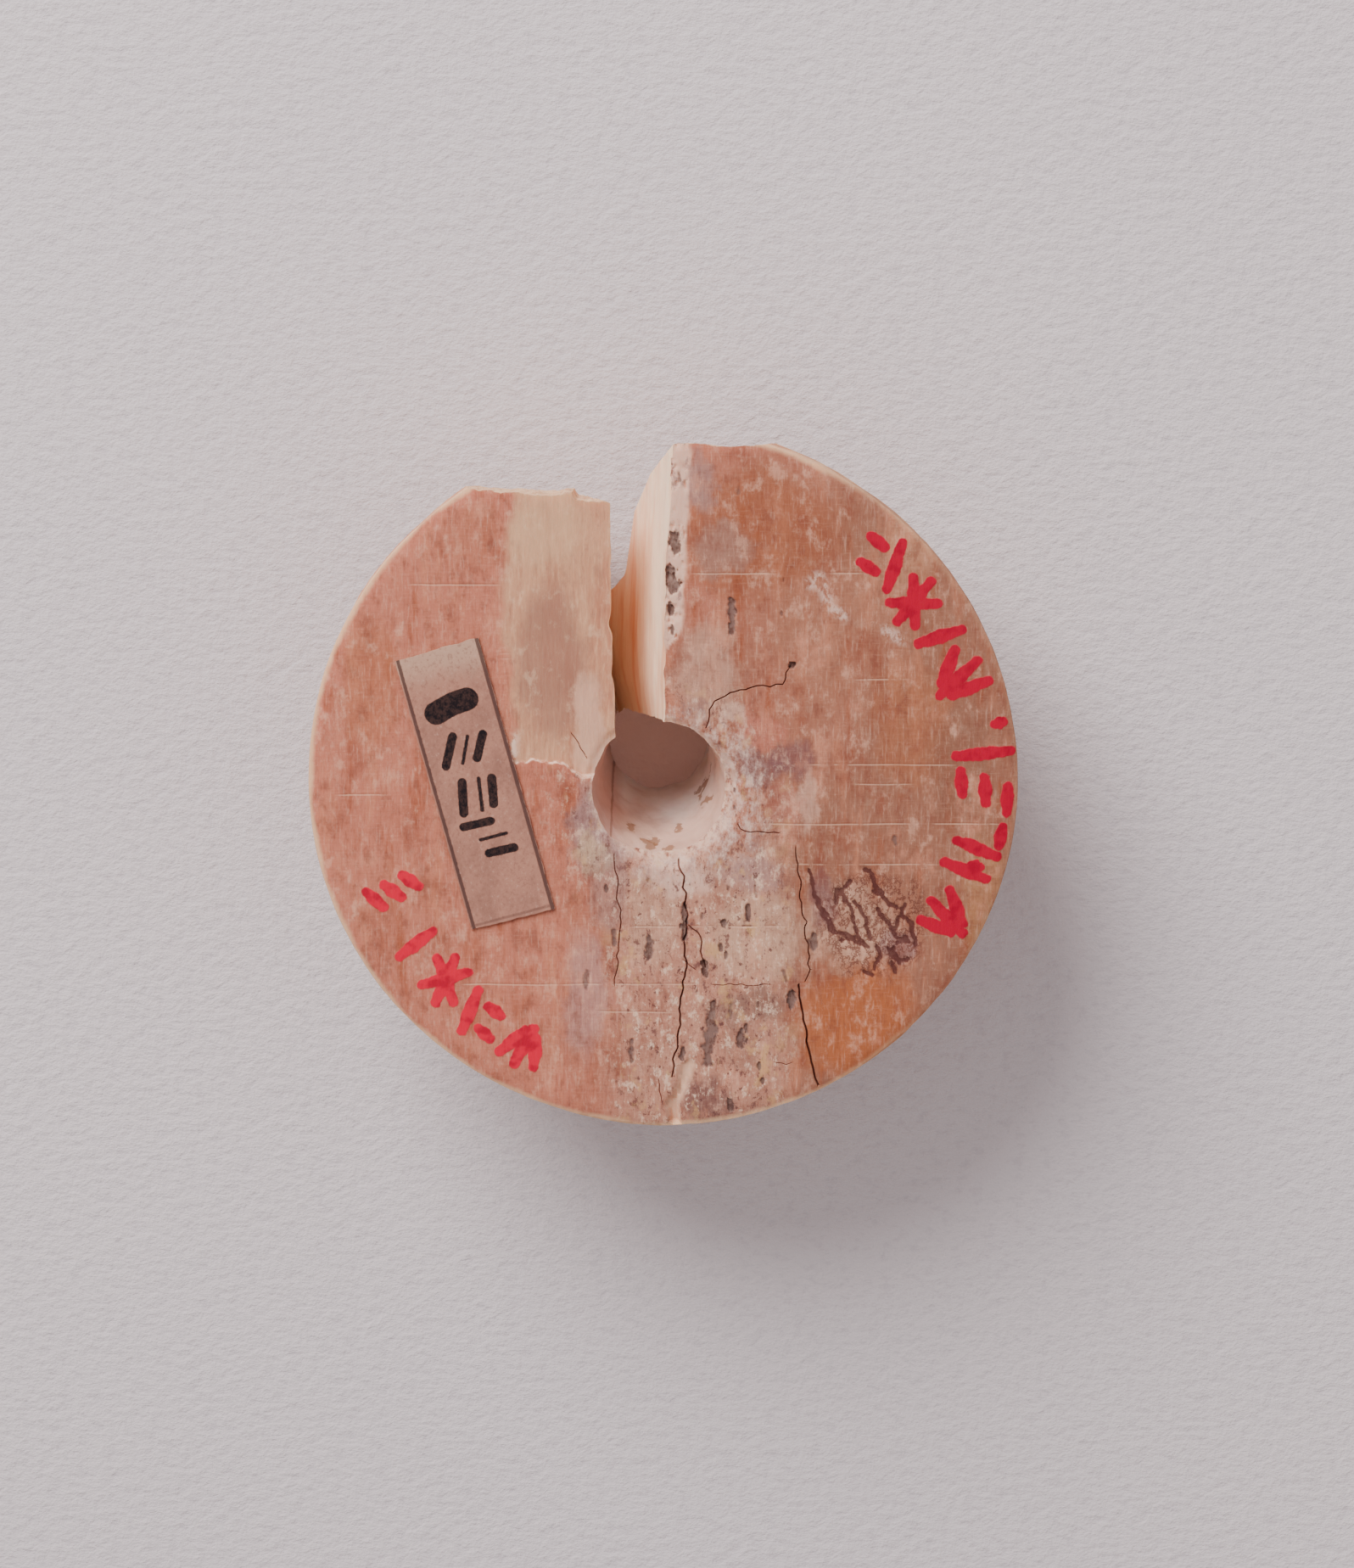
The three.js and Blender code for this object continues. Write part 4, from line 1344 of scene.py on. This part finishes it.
# %% The tag's paper and ink
def paper_finish():
    paper = Finish("old_paper")
    across, along = paper.amount("across"), paper.amount("along")
    blotch = paper.noise(0.5, 0.3, 4, 0.6, 31.0)
    fibre = paper.noise(5.0, 4.0, 4, 0.7, 32.0)
    wobble = (fibre - 0.5) * 0.10
    left_line = (across + 2.38 + wobble).size().step(0.14, 0.07)
    right_line = (across - 2.42 + wobble).size().step(0.15, 0.08)
    foot_line = (along + 8.2 + wobble).size().step(0.12, 0.04)
    lines = left_line.most(right_line).most(foot_line * 0.5)
    ink = (paper.amount("ink") + (fibre - 0.5) * 0.14).step(0.03, -0.04)
    colour = coats(
        blend((174, 122, 104), (150, 104, 90), blotch.step(0.4, 0.65)),
        ((200, 160, 136), (along + (blotch - 0.5) * 3).step(5.6, 8.4) * 0.8),
        ((136, 92, 80), fibre.step(0.50, 0.35) * 0.5),
        ((208, 166, 148), fibre.step(0.56, 0.70) * 0.4),
        ((70, 48, 46), lines * 0.85),
        ((26, 18, 22), ink * (0.88 + 0.12 * fibre.step(0.35, 0.6))),
    )
    paper.connect(Specular_IOR_Level=0.15)
    bump = paper.bump(fibre * 0.6 + blotch * 0.4, 0.05, 0.4)
    return paper.connect(Base_Color=colour, Roughness=0.90 - 0.10 * ink, Normal=bump)


tag.data.materials.append(paper_finish())
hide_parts("paper_tag")
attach(tag, "root")
print("tag points:", len(tag.data.vertices))

# %% [markdown]
# ## Floor, light and camera
#
# The whorl lies on a sheet of plain pale paper, with a warm patch painted under the hole as bounced light.
# Soft daylight comes from high on the far left, and the pale surroundings fill the shadows. The camera looks
# almost straight down, from a little beyond the far side.

# %% Floor
def floor_finish():
    sheet = Finish("pale_floor")
    tooth = sheet.noise(1.1, 1.6, 5, 0.68, 41.0)
    cloud = sheet.noise(0.03, 0.03, 3, 0.5, 42.0)
    colour = coats(
        blend((228, 216, 217), (218, 207, 211), cloud),
        ((196, 184, 190), tooth.step(0.50, 0.36) * 0.35),
        # painted light: a warm pale patch on the floor under the hole, seen only through it, stands in for
        # light bounced off the bone
        ((246, 214, 202), sheet.spot(HOLE[0], HOLE[1], 6.5, 6.5, 0.5) * 0.95),
    )
    sheet.connect(Specular_IOR_Level=0.2, Roughness=0.95)
    return sheet.connect(Base_Color=colour, Normal=sheet.bump(tooth, 0.30, 0.8))


FLOOR_HALF = 4000.0
corners = [(-FLOOR_HALF, -FLOOR_HALF, 0), (FLOOR_HALF, -FLOOR_HALF, 0), (FLOOR_HALF, FLOOR_HALF, 0),
           (-FLOOR_HALF, FLOOR_HALF, 0)]
floor = new_object("paper_floor", corners, [(0, 1, 2, 3)])
floor.data.materials.append(floor_finish())

# %% Light
def soft_lamp(name, spot, size, power, colour):
    lamp = bpy.data.lights.new(name, "AREA")
    lamp.shape = "DISK"
    lamp.size = size * MM
    lamp.energy = power
    lamp.color = colour
    holder = bpy.data.objects.new(name, lamp)
    bpy.context.scene.collection.objects.link(holder)
    holder.location = Vector(spot) * MM
    holder.rotation_euler = (-holder.location).to_track_quat("-Z", "Y").to_euler()
    return holder


WINDOW_PLACE = (-250, 450, 350)
WINDOW_SIZE = 380
WINDOW_POWER = 6.3
WINDOW_TINT = (1.0, 0.985, 0.975)
SKY_TINT = (1.0, 0.95, 0.965, 1.0)
SKY_STRENGTH = 0.58

soft_lamp("window", WINDOW_PLACE, WINDOW_SIZE, WINDOW_POWER, WINDOW_TINT)
world = bpy.data.worlds.new("pale_room")
bpy.context.scene.world = world
world.use_nodes = True
sky = world.node_tree.nodes["Background"].inputs
sky["Color"].default_value = SKY_TINT
sky["Strength"].default_value = SKY_STRENGTH

# %% Camera
VIEW_TILT = math.radians(12)
CAMERA_DISTANCE = 300.0
FRAME_HEIGHT = 92.15
LOOK_AT = Vector((DISC_X + 0.8, DISC_Y - 0.05, HEIGHT))

towards = Vector((0, math.sin(VIEW_TILT), math.cos(VIEW_TILT)))
upwards = Vector((0, math.cos(VIEW_TILT), -math.sin(VIEW_TILT)))
lens = bpy.data.cameras.new("camera")
lens.sensor_width = 36.0
lens.lens = lens.sensor_width * CAMERA_DISTANCE / FRAME_HEIGHT
lens.clip_start = 0.01
camera = bpy.data.objects.new("camera", lens)
bpy.context.scene.collection.objects.link(camera)
turn = Matrix((Vector((1, 0, 0)), upwards, towards)).transposed()
camera.matrix_world = Matrix.Translation((LOOK_AT + towards * CAMERA_DISTANCE) * MM) @ turn.to_4x4()
bpy.context.scene.camera = camera
print("lens", round(lens.lens, 1), "view", bpy.context.scene.view_settings.view_transform)
